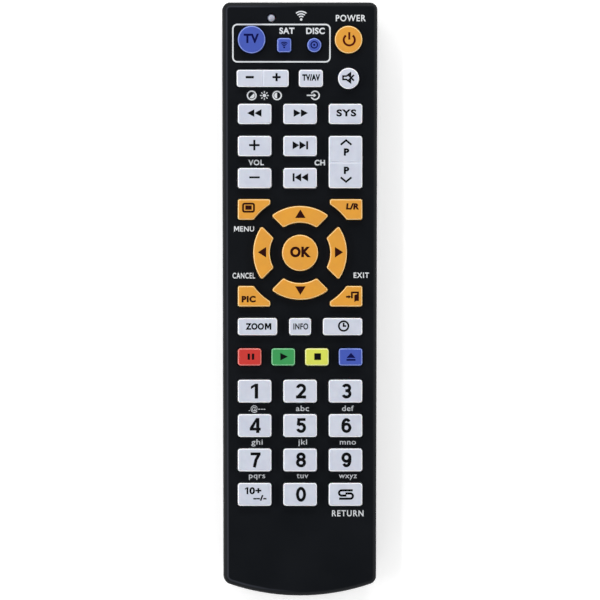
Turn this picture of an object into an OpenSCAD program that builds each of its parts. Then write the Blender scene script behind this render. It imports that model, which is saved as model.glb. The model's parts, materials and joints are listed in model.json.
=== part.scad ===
// Universal remote control: a two-part moulded case, 43 keys over a keypad mat and a circuit board,
// infrared parts behind a window in the end wall, and two cells behind a sliding door.
// The back lies on z = 0, the keys face +Z and the window end points to +Y. Sizes are millimetres.

/* [Case] */
// Length from the window end to the middle of the bowed tail
case_length = 203.5; // [200:0.5:220]
// Width at the window end
case_width = 53.25; // [52:0.25:60]
// How far each side draws in between the window end and the tail
side_taper = 0.5; // [0:0.1:1]
// Wall thickness of both covers
wall = 2; // [1.8:0.1:2.4]
// Height of the seam between the covers
seam_height = 11; // [10:0.25:12]
// Plan radius of the two corners at the window end
head_corner = 2.6; // [2.2:0.1:5]
// Plan radius of the two corners at the tail
tail_corner = 3; // [2.2:0.1:6]
// Radius of the bowed tail
tail_bow = 75; // [60:1:120]
// Rounding of the edge round the face
face_edge = 1.8; // [1:0.1:2]
// Rounding of the edge round the back
back_edge = 6; // [4:0.25:7]
// Chamfer that both covers have along the seam
seam_chamfer = 0.25; // [0.1:0.05:0.5]
// Height of the tongue that centres the covers on each other
tongue_height = 1.5; // [1:0.1:2]
// Thickness of that tongue
tongue_width = 0.9; // [0.7:0.05:1]
// Gap between the tongue and its rebate
tongue_gap = 0.1; // [0.05:0.05:0.2]

/* [Keypad layout] */
// Distance of the outer key columns from the sides of the case
key_margin = 5.3; // [4.5:0.1:5.5]
// Distance of each row from the window end: the large round keys
device_row = 12.8; // [12:0.1:13]
// The two small source keys
source_row = 14.7; // [14:0.1:15]
// The picture rocker, the input key and the mute key
input_row = 26.1; // [25.5:0.1:26.5]
// The first of three transport rows
transport_row = 38.3; // [37.5:0.1:38.5]
// Step between the transport rows
transport_pitch = 11; // [10.5:0.1:11.2]
// Gap between the last transport row and the wedge keys
wedge_row_gap = 3.8; // [3.4:0.1:4.4]
// Gap between the wedge keys and the zoom, information and clock keys
zoom_gap = 4; // [3.4:0.1:4.6]
// Gap between those and the four coloured keys
colour_row_gap = 4.55; // [3.4:0.05:5]
// Gap between the coloured keys and the first of four digit rows
digit_gap = 4.9; // [3.4:0.1:5.6]
// Step between the digit rows
digit_pitch = 11.8; // [11.5:0.1:12.5]
// Gap between the columns of keys
bar_gap = 4.1; // [3.4:0.1:5]
// Gap between the coloured keys
colour_gap = 3.5; // [3:0.1:5]
// Distance between the two small source keys, as a share of that between the large round keys
source_share = 0.31; // [0.28:0.01:0.34]
// Sideways shift of the two small source keys
source_shift = -0.3; // [-1:0.1:1]

/* [Key sizes] */
// Diameter of the large round keys
device_diameter = 9.4; // [8:0.1:10]
// Side or diameter of the small source keys
source_size = 4.8; // [4.4:0.1:5.4]
// Diameter of the mute key
mute_diameter = 7.2; // [6:0.1:8]
// Depth of the transport keys
transport_depth = 6.9; // [6:0.1:7.5]
// Depth of the digit keys
digit_depth = 7.8; // [7:0.1:8.5]
// Depth of the slim keys: picture, input, zoom and colour rows
slim_depth = 5.85; // [5:0.05:6.5]
// Share of the key field's width that the picture rocker takes
picture_share = 0.418; // [0.4:0.002:0.43]
// How far the picture rocker stands out past the key field
picture_outset = 0.4; // [0:0.1:0.6]
// Gap between the picture rocker and the input key
input_gap = 3.5; // [2.5:0.1:4]
// Gap between the input key and the mute key
mute_gap = 5.2; // [4:0.1:5.6]
// Width of the information key
info_width = 7.5; // [6:0.1:8.5]
// Distance of the navigation ring from the sides of the key field
ring_inset = 5.25; // [4.8:0.05:5.6]
// Width of the navigation ring
ring_width = 5.7; // [5:0.05:6]
// Gap between the navigation ring and the OK key
ok_gap = 4.2; // [3.6:0.05:4.6]
// Distance of the up and down keys' ends from the diagonals
nav_cut_long = 2.1; // [1.8:0.1:2.6]
// Distance of the left and right keys' ends from the diagonals
nav_cut_side = 2.85; // [2.2:0.05:3]
// Distance of the wedge keys' inner ends from the middle line, as a share of the key field's width
wedge_share = 0.24; // [0.23:0.005:0.26]
// How far the middle of the wedge keys lies inside the ring's outer radius, along the case
wedge_tuck = 1.2; // [0.8:0.05:1.4]
// Depth of the wedge keys
wedge_depth = 7; // [6.5:0.1:7.4]
// Gap between the navigation ring and the wedge keys
wedge_gap = 3.5; // [3.3:0.1:4]
// Distance of the pills of the wedge keys from the middle of the key, across the case
wedge_pill_side = 1.85; // [1:0.05:2.2]
// Distance of those pills from the middle of the key, along the case
wedge_pill_rise = 0.9; // [0:0.05:1.2]

/* [Key build] */
// How far the keys stand over the face
key_proud = 1.7; // [1:0.1:2.5]
// Plan radius of the keys' corners
key_corner = 0.9; // [0.7:0.05:1.4]
// Plan radius of the corners of the navigation and wedge keys
nav_corner = 0.65; // [0.6:0.05:1]
// Rounding of the keys' top edges
key_edge = 0.55; // [0.3:0.05:0.6]
// Gap between a key and the sides of its opening
key_clearance = 0.3; // [0.2:0.05:0.4]
// Gap between a rocker's ends and its opening
rock_clearance = 0.4; // [0.35:0.05:0.5]
// How far a key goes down
key_travel = 1; // [0.6:0.1:1.4]
// What is left under a key that is pressed right down
travel_margin = 0.05; // [0.02:0.01:0.1]
// How far the hidden flange of a key stands out past the key
key_flange = 0.8; // [0.6:0.05:1]
// Thickness of that flange
flange_thickness = 1.15; // [0.8:0.05:1.6]
// Gap between the flange and the underside of the face
flange_gap = 0.3; // [0.2:0.05:0.4]
// Diameter of the carbon pill under a key
pill_diameter = 3; // [2:0.1:3.2]
// Gap between a pill and its hole in the mat
pill_gap = 0.5; // [0.3:0.05:0.7]
// Angle that a rocker tips to each side, in degrees
rock_angle = 4; // [2:0.5:4]
// Distance of a rocker's pills from its axis
rock_pill = 5.2; // [4:0.1:6]
// Length of the hidden lugs that hold a rocker, along the rocker
rock_lug = 4; // [3:0.25:5]
// Depth of the crease across the middle of a rocker
crease_depth = 0.15; // [0.1:0.05:0.4]
// Radius of that crease
crease_radius = 0.6; // [0.5:0.1:1.5]

/* [Inside] */
// Thickness of the keypad mat
mat_thickness = 1; // [0.8:0.1:1.4]
// Thickness of the circuit board
board_thickness = 1.2; // [0.8:0.1:1.6]
// Gap between the board's long edges and the walls
board_side_gap = 1.8; // [1.5:0.1:2.2]
// Gap between the board and the window end
board_head_gap = 3.5; // [3.3:0.1:4]
// Plan radius of the corners of the board and the mat
board_corner = 1.5; // [0.5:0.1:2]
// Gap between the board and the battery bay under it
board_bay_gap = 0.2; // [0.1:0.05:0.5]
// How far the board runs past the tail posts
board_tail_margin = 1; // [0.5:0.1:2]
// Distance of the locating posts beside the keys from the sides of the case
post_margin = 6.3; // [5.9:0.1:6.5]
// Distance of the head posts from the window end
post_head = 4.6; // [4.4:0.1:4.8]
// Distance of the tail posts from the middle line
post_tail = 12; // [9:0.5:14]
// Gap between the tail posts and the flanges of the last key row
post_key_gap = 0.8; // [0.4:0.1:1.5]
// Radius of the posts' shoulders, which press the mat on the board
post_shoulder = 2; // [1.6:0.1:2.1]
// Radius of the posts' pins, which locate the board
post_pin = 1.1; // [0.8:0.1:1.3]
// Gap round the pins
pin_gap = 0.15; // [0.1:0.05:0.3]
// Radius of the columns that carry the board from below
prop_radius = 2; // [1.5:0.1:2.5]

/* [Battery bay] */
// Diameter of a cell, size AAA
cell_diameter = 10.4; // [10:0.1:10.5]
// Length of a cell with its button
cell_length = 44.5; // [43.3:0.1:44.5]
// Diameter of a cell's button
cell_button = 3.8; // [3.4:0.1:4]
// Height of a cell's button
cell_button_height = 1; // [0.8:0.1:1.2]
// Rounding of a cell's edges, cut straight
cell_edge = 0.4; // [0.2:0.05:0.6]
// Width of the rolled rim round a cell's button end
cell_rim = 1; // [0.8:0.1:1.4]
// Depth of the shoulder inside that rim
cell_shoulder = 0.3; // [0.2:0.05:0.5]
// Gap between the two cells
cell_pair_gap = 0.8; // [0.5:0.1:1.5]
// Gap between the cells and the bay
cell_gap = 0.3; // [0.2:0.05:0.5]
// Gap between the bay and the screw towers
bay_screw_gap = 3; // [2:0.25:5]
// Wall thickness of the bay
bay_wall = 1.2; // [1:0.1:1.6]
// Thickness of the bay's ceiling
bay_ceiling = 1; // [0.8:0.1:1.4]
// Thickness of the contact plates
contact_thickness = 0.4; // [0.3:0.05:0.5]
// Width of a single contact plate
contact_width = 9; // [8:0.1:9.5]
// Width of the contact tabs that reach the board
tab_width = 3; // [2:0.1:4]
// Gap round the contact tabs in the bay's ceiling
tab_gap = 0.3; // [0.2:0.05:0.5]
// Length of the battery springs with cells in place
spring_length = 4.7; // [4:0.1:6]
// Wire diameter of the springs
spring_wire = 0.7; // [0.5:0.05:0.8]
// Coil diameter at the plate, to the middle of the wire
spring_base = 7; // [6:0.1:8]
// Coil diameter at the cell, to the middle of the wire
spring_tip = 4.4; // [3.5:0.1:5]
// Turns of each spring
spring_turns = 3; // [2:0.5:3]

/* [Battery door] */
// Thickness of the door
door_thickness = 1.6; // [1.4:0.1:2]
// Width of the door
door_width = 30; // [29:0.5:32]
// How far the door runs past the bay toward the window end
door_overrun = 2.6; // [2.2:0.1:4]
// How far the door's tongues stand out
door_tongue = 1.1; // [0.8:0.1:1.4]
// Thickness of those tongues
door_tongue_thickness = 0.65; // [0.5:0.05:0.8]
// Gap all round the door
door_gap = 0.2; // [0.15:0.05:0.3]
// Thickness of the frame that the door slides in
door_frame = 1.8; // [1.4:0.1:2.2]
// Number of grip grooves on the door
grip_count = 6; // [4:1:9]
// Step between the grip grooves
grip_pitch = 1.8; // [1.4:0.1:2.4]
// Width of a grip groove
grip_width = 0.9; // [0.6:0.1:1.2]
// Length of a grip groove
grip_length = 15; // [10:0.5:20]
// Depth of a grip groove
grip_depth = 0.5; // [0.3:0.05:0.7]
// Distance of the first groove from the door's upper edge
grip_start = 5; // [4:0.5:8]
// Width of the arrow that shows the way of the door
arrow_width = 6; // [4:0.5:8]
// Length of that arrow
arrow_length = 4; // [3:0.5:6]

/* [Window and lamps] */
// Width of the infrared window
window_width = 26; // [24:0.5:30]
// Height of the infrared window
window_height = 9; // [8:0.25:9]
// Height of the middle of the window over the back
window_middle = 12; // [11.6:0.1:12.2]
// How far the window's flange stands out behind the wall
window_lip = 1; // [0.6:0.1:1.2]
// Thickness of that flange
window_lip_thickness = 1.1; // [0.8:0.1:1.2]
// Gap round the window
window_gap = 0.1; // [0.05:0.05:0.2]
// Diameter of the infrared parts
infrared_diameter = 5; // [4.8:0.1:5]
// Length of the infrared parts
infrared_length = 8.6; // [8:0.1:8.8]
// Distance between the emitter and the receiver
infrared_pitch = 8; // [7:0.5:9]
// Gap before and behind the infrared parts
infrared_gap = 0.3; // [0.2:0.05:0.5]
// Gap beside the infrared parts in the board's notch
notch_gap = 1; // [0.5:0.1:1.5]
// How far the rim round a lamp's foot stands out
lamp_rim = 0.4; // [0.2:0.05:0.5]
// Height of that rim
lamp_rim_height = 1; // [0.8:0.1:1.2]
// Thickness of the wire leads
lead_thickness = 0.5; // [0.4:0.05:0.6]
// Diameter of the indicator lamp
lamp_diameter = 3; // [2.8:0.1:3.2]
// Gap round the indicator lamp
lamp_gap = 0.15; // [0.1:0.05:0.25]
// Distance of the indicator lamp from the middle line
lamp_side = 9.8; // [9.4:0.1:10]
// Distance of the indicator lamp from the window end
lamp_row = 5.4; // [5:0.1:5.6]
// How far the lamp's dome stands over the face
lamp_proud = 0.2; // [0:0.05:0.4]

/* [Board parts] */
// Width of the control chip's body
chip_width = 7.5; // [6:0.1:9]
// Length of the control chip's body
chip_length = 18; // [14:0.5:20]
// Height of the control chip from the board
chip_height = 2.3; // [1.8:0.1:2.8]
// Gap between the chip's body and the board
chip_standoff = 0.2; // [0.1:0.05:0.3]
// How far the chip's legs stand out
chip_reach = 1.4; // [1:0.1:2]
// Legs on each side of the control chip
chip_legs = 14; // [8:1:16]
// Width of the resonator's can
resonator_width = 4.7; // [4.6:0.1:5.2]
// Length of the resonator's can
resonator_length = 11.4; // [9:0.1:12]
// Height of the resonator's can
resonator_height = 3.6; // [3:0.1:4.5]
// Plan radius of the can's ends
resonator_corner = 2.25; // [1.5:0.05:2.25]
// Diameter of the capacitor
capacitor_diameter = 5; // [4:0.5:6.3]
// Length of the capacitor
capacitor_length = 11; // [7:0.5:12]

/* [Case screws] */
// Distance of the screws from the middle line
screw_side = 8; // [6:0.5:10]
// Shank diameter of the screws
screw_shank = 2; // [1.8:0.1:2.2]
// Length of the shank
screw_length = 9; // [7:0.5:11]
// Head diameter of the screws
screw_head = 4.2; // [3.8:0.1:4.6]
// Height of the head
screw_head_height = 1.5; // [1.2:0.1:1.8]
// Length of the cross slot in the head
screw_slot = 2.5; // [2:0.1:3]
// Width of that slot
screw_slot_width = 0.5; // [0.4:0.05:0.7]
// Gap between the board and the screw bosses
screw_board_gap = 3; // [2:0.25:4]
// Height of the seats of the screw heads over the door's frame
seat_rise = 0.4; // [0.2:0.1:0.8]
// Thickness of those seats
seat_thickness = 3; // [2:0.25:4]
// Wall of the towers round the screw heads
tower_wall = 1.2; // [1:0.1:1.5]
// Gap round the screw in its clearance hole
screw_gap = 0.3; // [0.2:0.05:0.4]
// Wall of the bosses round the screws
boss_wall = 1.5; // [1.2:0.1:1.8]

/* [Hidden] */
$fn = 48;
// Steps that round a plan corner, the bowed tail and an edge
corner_steps = 8;
bow_steps = 18;
edge_steps = 7;
// Steps that round the navigation and wedge keys: corners, long curves, top edges
nav_corner_steps = 5;
nav_curve_steps = 12;
nav_edge_steps = 5;
// Rings in a spring's turn and sides of its wire
spring_rings = 12;
spring_sides = 6;
// Cuts run past the faces that they open by this much
past = 1;

black = "#17191d";
pale = "#ccd1dc";
orange = "#d89f4c";
blue = "#4a5aa6";
red = "#c23b37";
green = "#409958";
yellow = "#d2d962";

// Heights, from the back up: door, cells, bay, board, mat, keys, face
door_pocket = door_thickness + door_gap;
bay_floor = door_pocket + door_frame;
cell_z = door_thickness + cell_gap + cell_diameter / 2;
bay_under = cell_z + cell_diameter / 2 + cell_gap;
bay_top = bay_under + bay_ceiling;
board_z = bay_top + board_bay_gap;
mat_z = board_z + board_thickness;
mat_top = mat_z + mat_thickness;
flange_z = mat_top + travel_margin + key_travel;
flange_top = flange_z + flange_thickness;
face_under = flange_top + flange_gap;
face_z = face_under + wall;
key_top = face_z + key_proud;
tongue_top = seam_height + tongue_height;

// Places along the case
head_y = case_length / 2;
tail_y = -case_length / 2;
function row(distance) = head_y - distance;
// Shared-out sizes go in steps of 0.02 mm, so that their halves are whole hundredths and the pieces of a key meet
function even(size) = round(size * 50) / 50;
key_field = case_width - 2 * key_margin;
bar_width = even((key_field - 2 * bar_gap) / 3);
column = bar_width + bar_gap;
edge_disc = (key_field - device_diameter) / 2;
source_pitch = 2 * edge_disc * source_share;
picture_length = even(key_field * picture_share);
picture_x = (picture_length - key_field) / 2 - picture_outset;
input_left = picture_x + picture_length / 2 + input_gap;
input_right = edge_disc - mute_diameter / 2 - mute_gap;
wide_width = even((key_field - info_width) / 2 - bar_gap);
wide_x = (key_field - wide_width) / 2;
colour_width = even((key_field - 3 * colour_gap) / 4);
colour_step = colour_width + colour_gap;
channel_length = transport_pitch + transport_depth;

// The navigation ring fills the key field, and the rows below it follow
nav_outer = key_field / 2 - ring_inset;
nav_inner = nav_outer - ring_width;
ok_diameter = 2 * (nav_inner - ok_gap);
wedge_arc = nav_outer + wedge_gap;
wedge_width = key_field * (1 / 2 - wedge_share);
wedge_x = (key_field - wedge_width) / 2;
wedge_rise = nav_outer - wedge_tuck;
wedge_end = wedge_rise + wedge_depth / 2;
nav_row = transport_row + 2 * transport_pitch + transport_depth / 2 + wedge_row_gap + wedge_end;
zoom_row = nav_row + wedge_end + zoom_gap + slim_depth / 2;
colour_row = zoom_row + slim_depth + colour_row_gap;
digit_row = colour_row + slim_depth / 2 + digit_gap + digit_depth / 2;
nav_y = row(nav_row);
transport_y = [for (i = [0 : 2]) row(transport_row + i * transport_pitch)];
digit_y = [for (i = [0 : 3]) row(digit_row + i * digit_pitch)];

board_half = case_width / 2 - wall - board_side_gap;
board_head = row(board_head_gap);
post_side = case_width / 2 - post_margin;
post_tail_y = digit_y[3] - digit_depth / 2 - key_flange - post_shoulder - post_key_gap;
board_tail = post_tail_y - post_shoulder - board_tail_margin;
boss_radius = screw_shank / 2 + boss_wall;
tower_radius = screw_head / 2 + screw_gap + tower_wall;
screw_y = board_tail - boss_radius - screw_board_gap;
screw_seat = bay_floor + seat_rise;
tower_top = screw_seat + seat_thickness;

bay_half = cell_pair_gap / 2 + cell_diameter + cell_gap;
bay_length = 2 * contact_thickness + spring_length + cell_length;
bay_tail = screw_y + tower_radius + bay_screw_gap + bay_wall;
bay_head = bay_tail + bay_length;
cell_x = (cell_pair_gap + cell_diameter) / 2;
door_head = bay_head + bay_wall + door_overrun;

infrared_y = head_y - wall - window_lip_thickness - window_gap - infrared_length - infrared_gap;
notch_half = infrared_pitch / 2 + infrared_diameter / 2 + notch_gap;
lamp_place = [-lamp_side, row(lamp_row)];
post_places = [[post_side, row(post_head)], [post_side, nav_y], [post_tail, post_tail_y]];
posts = [for (side = [-1, 1], place = post_places) [side * place.x, place.y]];
screws = [for (side = [-1, 1]) [side * screw_side, screw_y]];

// Every key: name, form, place, width and depth, colour
device_plan = [device_diameter, device_diameter];
source_plan = [source_size, source_size];
source_keys = [
  ["tv_key", "disc", [-edge_disc, row(device_row)], device_plan, blue],
  ["satellite_key", "bar", [source_shift - source_pitch / 2, row(source_row)], source_plan, blue],
  ["player_key", "disc", [source_shift + source_pitch / 2, row(source_row)], source_plan, blue],
  ["power_key", "disc", [edge_disc, row(device_row)], device_plan, orange],
];
input_keys = [
  ["picture_rocker", "rocker_across", [picture_x, row(input_row)], [picture_length, slim_depth], pale],
  [
    "input_key", "bar", [(input_left + input_right) / 2, row(input_row)],
    [input_right - input_left, slim_depth], pale
  ],
  ["mute_key", "disc", [edge_disc, row(input_row)], [mute_diameter, mute_diameter], pale],
];
transport_names = [
  ["rewind_key", "fast_forward_key", "system_key"],
  ["volume_up_key", "next_key"],
  ["volume_down_key", "previous_key"],
];
transport_keys = [
  for (i = [0 : 2], j = [0 : len(transport_names[i]) - 1])
    [transport_names[i][j], "bar", [(j - 1) * column, transport_y[i]], [bar_width, transport_depth], pale]
];
channel_y = (transport_y[1] + transport_y[2]) / 2;
channel_keys = [["channel_rocker", "rocker_along", [column, channel_y], [bar_width, channel_length], pale]];
wedge_names = [["menu_key", -1, 1], ["audio_key", 1, 1], ["picture_mode_key", -1, -1], ["exit_key", 1, -1]];
wedge_keys = [for (k = wedge_names) [k[0], "wedge", [0, nav_y], [k[1], k[2]], orange]];
arc_names = ["up_key", "left_key", "down_key", "right_key"];
arc_keys = [for (i = [0 : 3]) [arc_names[i], "arc", [0, nav_y], [i * 90, i % 2], orange]];
ok_keys = [["ok_key", "disc", [0, nav_y], [ok_diameter, ok_diameter], orange]];
zoom_keys = [
  ["zoom_key", "bar", [-wide_x, row(zoom_row)], [wide_width, slim_depth], pale],
  ["information_key", "bar", [0, row(zoom_row)], [info_width, slim_depth], pale],
  ["clock_key", "bar", [wide_x, row(zoom_row)], [wide_width, slim_depth], pale],
];
colours = [["red_key", red], ["green_key", green], ["yellow_key", yellow], ["blue_key", blue]];
colour_keys = [
  for (i = [0 : 3])
    let (place = [(i - 1.5) * colour_step, row(colour_row)])
      [colours[i][0], "bar", place, [colour_width, slim_depth], colours[i][1]]
];
digit_names = [
  ["digit_1_key", "digit_2_key", "digit_3_key"],
  ["digit_4_key", "digit_5_key", "digit_6_key"],
  ["digit_7_key", "digit_8_key", "digit_9_key"],
  ["ten_plus_key", "digit_0_key", "return_key"],
];
digit_keys = [
  for (i = [0 : 3], j = [0 : 2])
    [digit_names[i][j], "bar", [(j - 1) * column, digit_y[i]], [bar_width, digit_depth], pale]
];
keys = concat(
  source_keys, input_keys, transport_keys, channel_keys, wedge_keys, arc_keys, ok_keys,
  zoom_keys, colour_keys, digit_keys
);

// Case outline in plan, drawn in by inset; soften adds to the corner radii
function arc_points(centre, radius, from, to, steps) = [
  for (i = [0 : steps])
    let (angle = from + (to - from) * i / steps) centre + radius * [cos(angle), sin(angle)]
];
function mirrored(points) = [for (i = [len(points) - 1 : -1 : 0]) [-points[i].x, points[i].y]];
function case_outline(inset, soften) =
  let (
    lean = atan2(side_taper, case_length),
    side = case_width / 2 * cos(lean) - head_y * sin(lean),
    head_r = max(0.5, head_corner + soften),
    tail_r = max(0.5, tail_corner + soften),
    head_cy = head_y - inset - head_r,
    head_c = [(side - inset - head_r + head_cy * sin(lean)) / cos(lean), head_cy],
    bow_c = [0, tail_y + tail_bow],
    bow_r = tail_bow - inset,
    out = side - inset - tail_r,
    along = bow_c.y * cos(lean) - sqrt(pow(bow_r - tail_r, 2) - pow(out + bow_c.y * sin(lean), 2)),
    tail_c = out * [cos(lean), -sin(lean)] + along * [sin(lean), cos(lean)],
    bow_angle = atan2(tail_c.y - bow_c.y, tail_c.x - bow_c.x),
    right = concat(
      arc_points(tail_c, tail_r, bow_angle, -lean, corner_steps),
      arc_points(head_c, head_r, -lean, 90, corner_steps)
    ),
    bow = arc_points(bow_c, bow_r, -180 - bow_angle, bow_angle, bow_steps)
  )
  concat(right, mirrored(right), [for (i = [1 : bow_steps - 1]) bow[i]]);

// Solid through a stack of rings, each with the same number of points; faces fill one end
module loft(rings, faces = []) {
  n = len(rings[0]);
  end = len(faces) > 0 ? faces : [[for (i = [0 : n - 1]) i]];
  top = (len(rings) - 1) * n;
  sides = [
    for (j = [0 : len(rings) - 2], i = [0 : n - 1])
      let (a = j * n + i, b = j * n + (i + 1) % n)
        each [[a, a + n, b + n], [a, b + n, b]]
  ];
  caps = concat(end, [for (face = end) [for (i = [len(face) - 1 : -1 : 0]) top + face[i]]]);
  polyhedron([for (ring = rings) each ring], concat(caps, sides));
}

function raised(points, z) = [for (p = points) [p.x, p.y, z]];

// Case form through a stack of [inset, soften, height] levels
module case_loft(levels) {
  loft([for (l = levels) raised(case_outline(l[0], l[1]), l[2])]);
}

// Levels of a rounded edge, from the flat outward to the wall
function edge_levels(radius, flat_z, direction, soften, inset) = [
  for (i = [0 : edge_steps])
    let (angle = 90 * i / edge_steps, d = radius * (1 - sin(angle)))
      [inset + d, soften * d - inset, flat_z + direction * radius * (1 - cos(angle))]
];
function reversed(list) = [for (i = [len(list) - 1 : -1 : 0]) list[i]];

module case_slab(inset, from, to) {
  translate([0, 0, from]) linear_extrude(to - from) polygon(case_outline(inset, -inset));
}

// Keys are built from these plan forms
module bar_plan(size, corner) {
  square([size.x - 2 * corner, size.y], center = true);
  square([size.x, size.y - 2 * corner], center = true);
  for (x = [-1, 1], y = [-1, 1])
    translate([x * (size.x / 2 - corner), y * (size.y / 2 - corner)]) circle(corner);
}

// Wedge key in the first quarter round the navigation keys, drawn in by inset
function wedge_outline(inset) =
  let (
    r = nav_corner - inset,
    half = [wedge_width, wedge_depth] / 2 - [nav_corner, nav_corner],
    low = [wedge_x, wedge_rise] - half,
    high = [wedge_x, wedge_rise] + half,
    hollow = wedge_arc + nav_corner,
    tip = [low.x, sqrt(pow(hollow, 2) - pow(low.x, 2))],
    heel = [sqrt(pow(hollow, 2) - pow(low.y, 2)), low.y],
    tip_angle = atan2(tip.y, tip.x),
    heel_angle = atan2(heel.y, heel.x),
    curve = arc_points([0, 0], wedge_arc + inset, tip_angle, heel_angle, nav_curve_steps)
  )
  concat(
    arc_points([high.x, low.y], r, -90, 0, nav_corner_steps),
    arc_points(high, r, 0, 90, nav_corner_steps),
    arc_points([low.x, high.y], r, 90, 180, nav_corner_steps),
    arc_points(tip, r, 180, 180 + tip_angle, nav_corner_steps),
    [for (i = [1 : nav_curve_steps - 1]) curve[i]],
    arc_points(heel, r, 180 + heel_angle, 270, nav_corner_steps)
  );

// Navigation key above the middle of the ring, with ends beside the diagonals, drawn in by inset
function arc_outline(inset, cut) =
  let (
    r = nav_corner - inset,
    off = cut + nav_corner,
    outer = nav_outer - nav_corner,
    inner = nav_inner + nav_corner,
    outer_angle = 45 + asin(off / outer),
    inner_angle = 45 + asin(off / inner),
    right = concat(
      arc_points(inner * [cos(inner_angle), sin(inner_angle)], r, 180 + inner_angle, 315, nav_corner_steps),
      arc_points(outer * [cos(outer_angle), sin(outer_angle)], r, -45, outer_angle, nav_corner_steps)
    ),
    far = arc_points([0, 0], nav_outer - inset, outer_angle, 180 - outer_angle, nav_curve_steps),
    near = arc_points([0, 0], nav_inner + inset, 180 - inner_angle, inner_angle, nav_curve_steps)
  )
  concat(
    right, [for (i = [1 : nav_curve_steps - 1]) far[i]],
    mirrored(right), [for (i = [1 : nav_curve_steps - 1]) near[i]]
  );

// Both outlines are hollow, so their ends are filled in pieces: a wedge as a fan from its outer corner,
// a ring key as a strip between its outer and inner curves
function nav_faces(form, n) =
  let (c = nav_corner_steps + 1, fan = c + floor(c / 2))
    form == "wedge" ? [for (i = [1 : n - 2]) [fan, (fan + i) % n, (fan + i + 1) % n]]
    : [for (i = [0 : n / 2 - 2]) [c + i, c + i + 1, (n + c - 2 - i) % n, (n + c - 1 - i) % n]];

function nav_cut(size) = size.y == 1 ? nav_cut_side : nav_cut_long;
function nav_outline(form, size, inset) =
  form == "wedge" ? wedge_outline(inset) : arc_outline(inset, nav_cut(size));

// Turns a navigation key, or mirrors a wedge key, to its own place
module nav_place(form, size) {
  if (form == "wedge") mirror([size.x < 0 ? 1 : 0, 0, 0]) mirror([0, size.y < 0 ? 1 : 0, 0]) children();
  else rotate([0, 0, size.x]) children();
}

// Plan of a key, grown by margin all round
module key_plan(form, size, margin) {
  if (form == "disc") circle(size.x / 2 + margin);
  else if (form == "wedge" || form == "arc")
    nav_place(form, size) polygon(nav_outline(form, size, -margin));
  else bar_plan(size + 2 * [margin, margin], key_corner + margin);
}

// Section of a key with both top edges rounded
module key_section(width, height) {
  translate([-width / 2, 0]) square([width, height - key_edge]);
  translate([-width / 2 + key_edge, 0]) square([width - 2 * key_edge, height]);
  for (side = [-1, 1]) translate([side * (width / 2 - key_edge), height - key_edge]) circle(key_edge);
}

module half_section(radius, height) {
  intersection() {
    square([radius, height]);
    key_section(2 * radius, height);
  }
}

module bar_cap(size, height) {
  rotate([90, 0, 90]) linear_extrude(size.x - 2 * key_corner, center = true) key_section(size.y, height);
  rotate([90, 0, 0]) linear_extrude(size.y - 2 * key_corner, center = true) key_section(size.x, height);
  for (i = [0 : 3]) {
    turned = i % 2 == 0 ? size : [size.y, size.x];
    rotate([0, 0, 90 * i]) translate([turned.x / 2 - key_corner, turned.y / 2 - key_corner, 0])
      rotate_extrude(angle = 90) half_section(key_corner, height);
  }
}

// A navigation or wedge key is one form with its flange
module nav_cap(form, size, height) {
  edge = [
    for (i = [0 : nav_edge_steps])
      let (angle = 90 * i / nav_edge_steps)
        [key_edge * (1 - cos(angle)), height - key_edge * (1 - sin(angle))]
  ];
  levels = concat([[-key_flange, 0], [-key_flange, flange_thickness], [0, flange_thickness]], edge);
  rings = [for (l = levels) raised(nav_outline(form, size, l[0]), l[1])];
  nav_place(form, size) loft(rings, nav_faces(form, len(rings[0])));
}

module key_cap(form, size) {
  height = key_top - flange_z;
  translate([0, 0, flange_z]) {
    if (form == "disc") rotate_extrude() half_section(size.x / 2, height);
    else if (form == "wedge" || form == "arc") nav_cap(form, size, height);
    else bar_cap(size, height);
  }
}

// Places of the carbon pills under a key, from the key's own place
function arc_pill(size) = (nav_outer + nav_inner) / 2 * [-sin(size.x), cos(size.x)];
function wedge_pill(size) =
  [size.x * (wedge_x + wedge_pill_side), size.y * (wedge_rise + wedge_pill_rise)];
function pills(form, size) =
  form == "rocker_across" ? [[-rock_pill, 0], [rock_pill, 0]]
  : form == "rocker_along" ? [[0, -rock_pill], [0, rock_pill]]
  : form == "arc" ? [arc_pill(size)]
  : form == "wedge" ? [wedge_pill(size)]
  : [[0, 0]];

module push_key(form, size) {
  key_cap(form, size);
  if (form == "disc" || form == "bar")
    translate([0, 0, flange_z]) linear_extrude(flange_thickness) key_plan(form, size, key_flange);
  for (p = pills(form, size))
    translate([p.x, p.y, flange_z - key_travel]) cylinder(d = pill_diameter, h = key_travel + past);
}

// A rocker tips on a rounded rib that lies across it, and two lugs keep it in its opening
module rocker_key(form, size) {
  turn = form == "rocker_along" ? 90 : 0;
  span = form == "rocker_along" ? size.x : size.y;
  drop = (rock_pill + pill_diameter / 2) * sin(rock_angle) + travel_margin;
  difference() {
    key_cap(form, size);
    rotate([0, 0, turn]) translate([0, 0, key_top + crease_radius - crease_depth])
      rotate([90, 0, 0]) cylinder(r = crease_radius, h = span + 2 * past, center = true);
  }
  rotate([0, 0, turn]) translate([0, 0, flange_z]) {
    translate([-rock_lug / 2, -span / 2 - key_flange, 0])
      cube([rock_lug, span + 2 * key_flange, flange_thickness]);
    rotate([90, 0, 0]) cylinder(r = key_travel, h = span, center = true);
  }
  for (p = pills(form, size))
    translate([p.x, p.y, mat_z + drop]) cylinder(d = pill_diameter, h = flange_z + past - mat_z - drop);
}

module key(k) {
  color(k[4]) translate(k[2])
    if (k[1] == "rocker_across" || k[1] == "rocker_along") rocker_key(k[1], k[3]);
    else push_key(k[1], k[3]);
}

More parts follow.
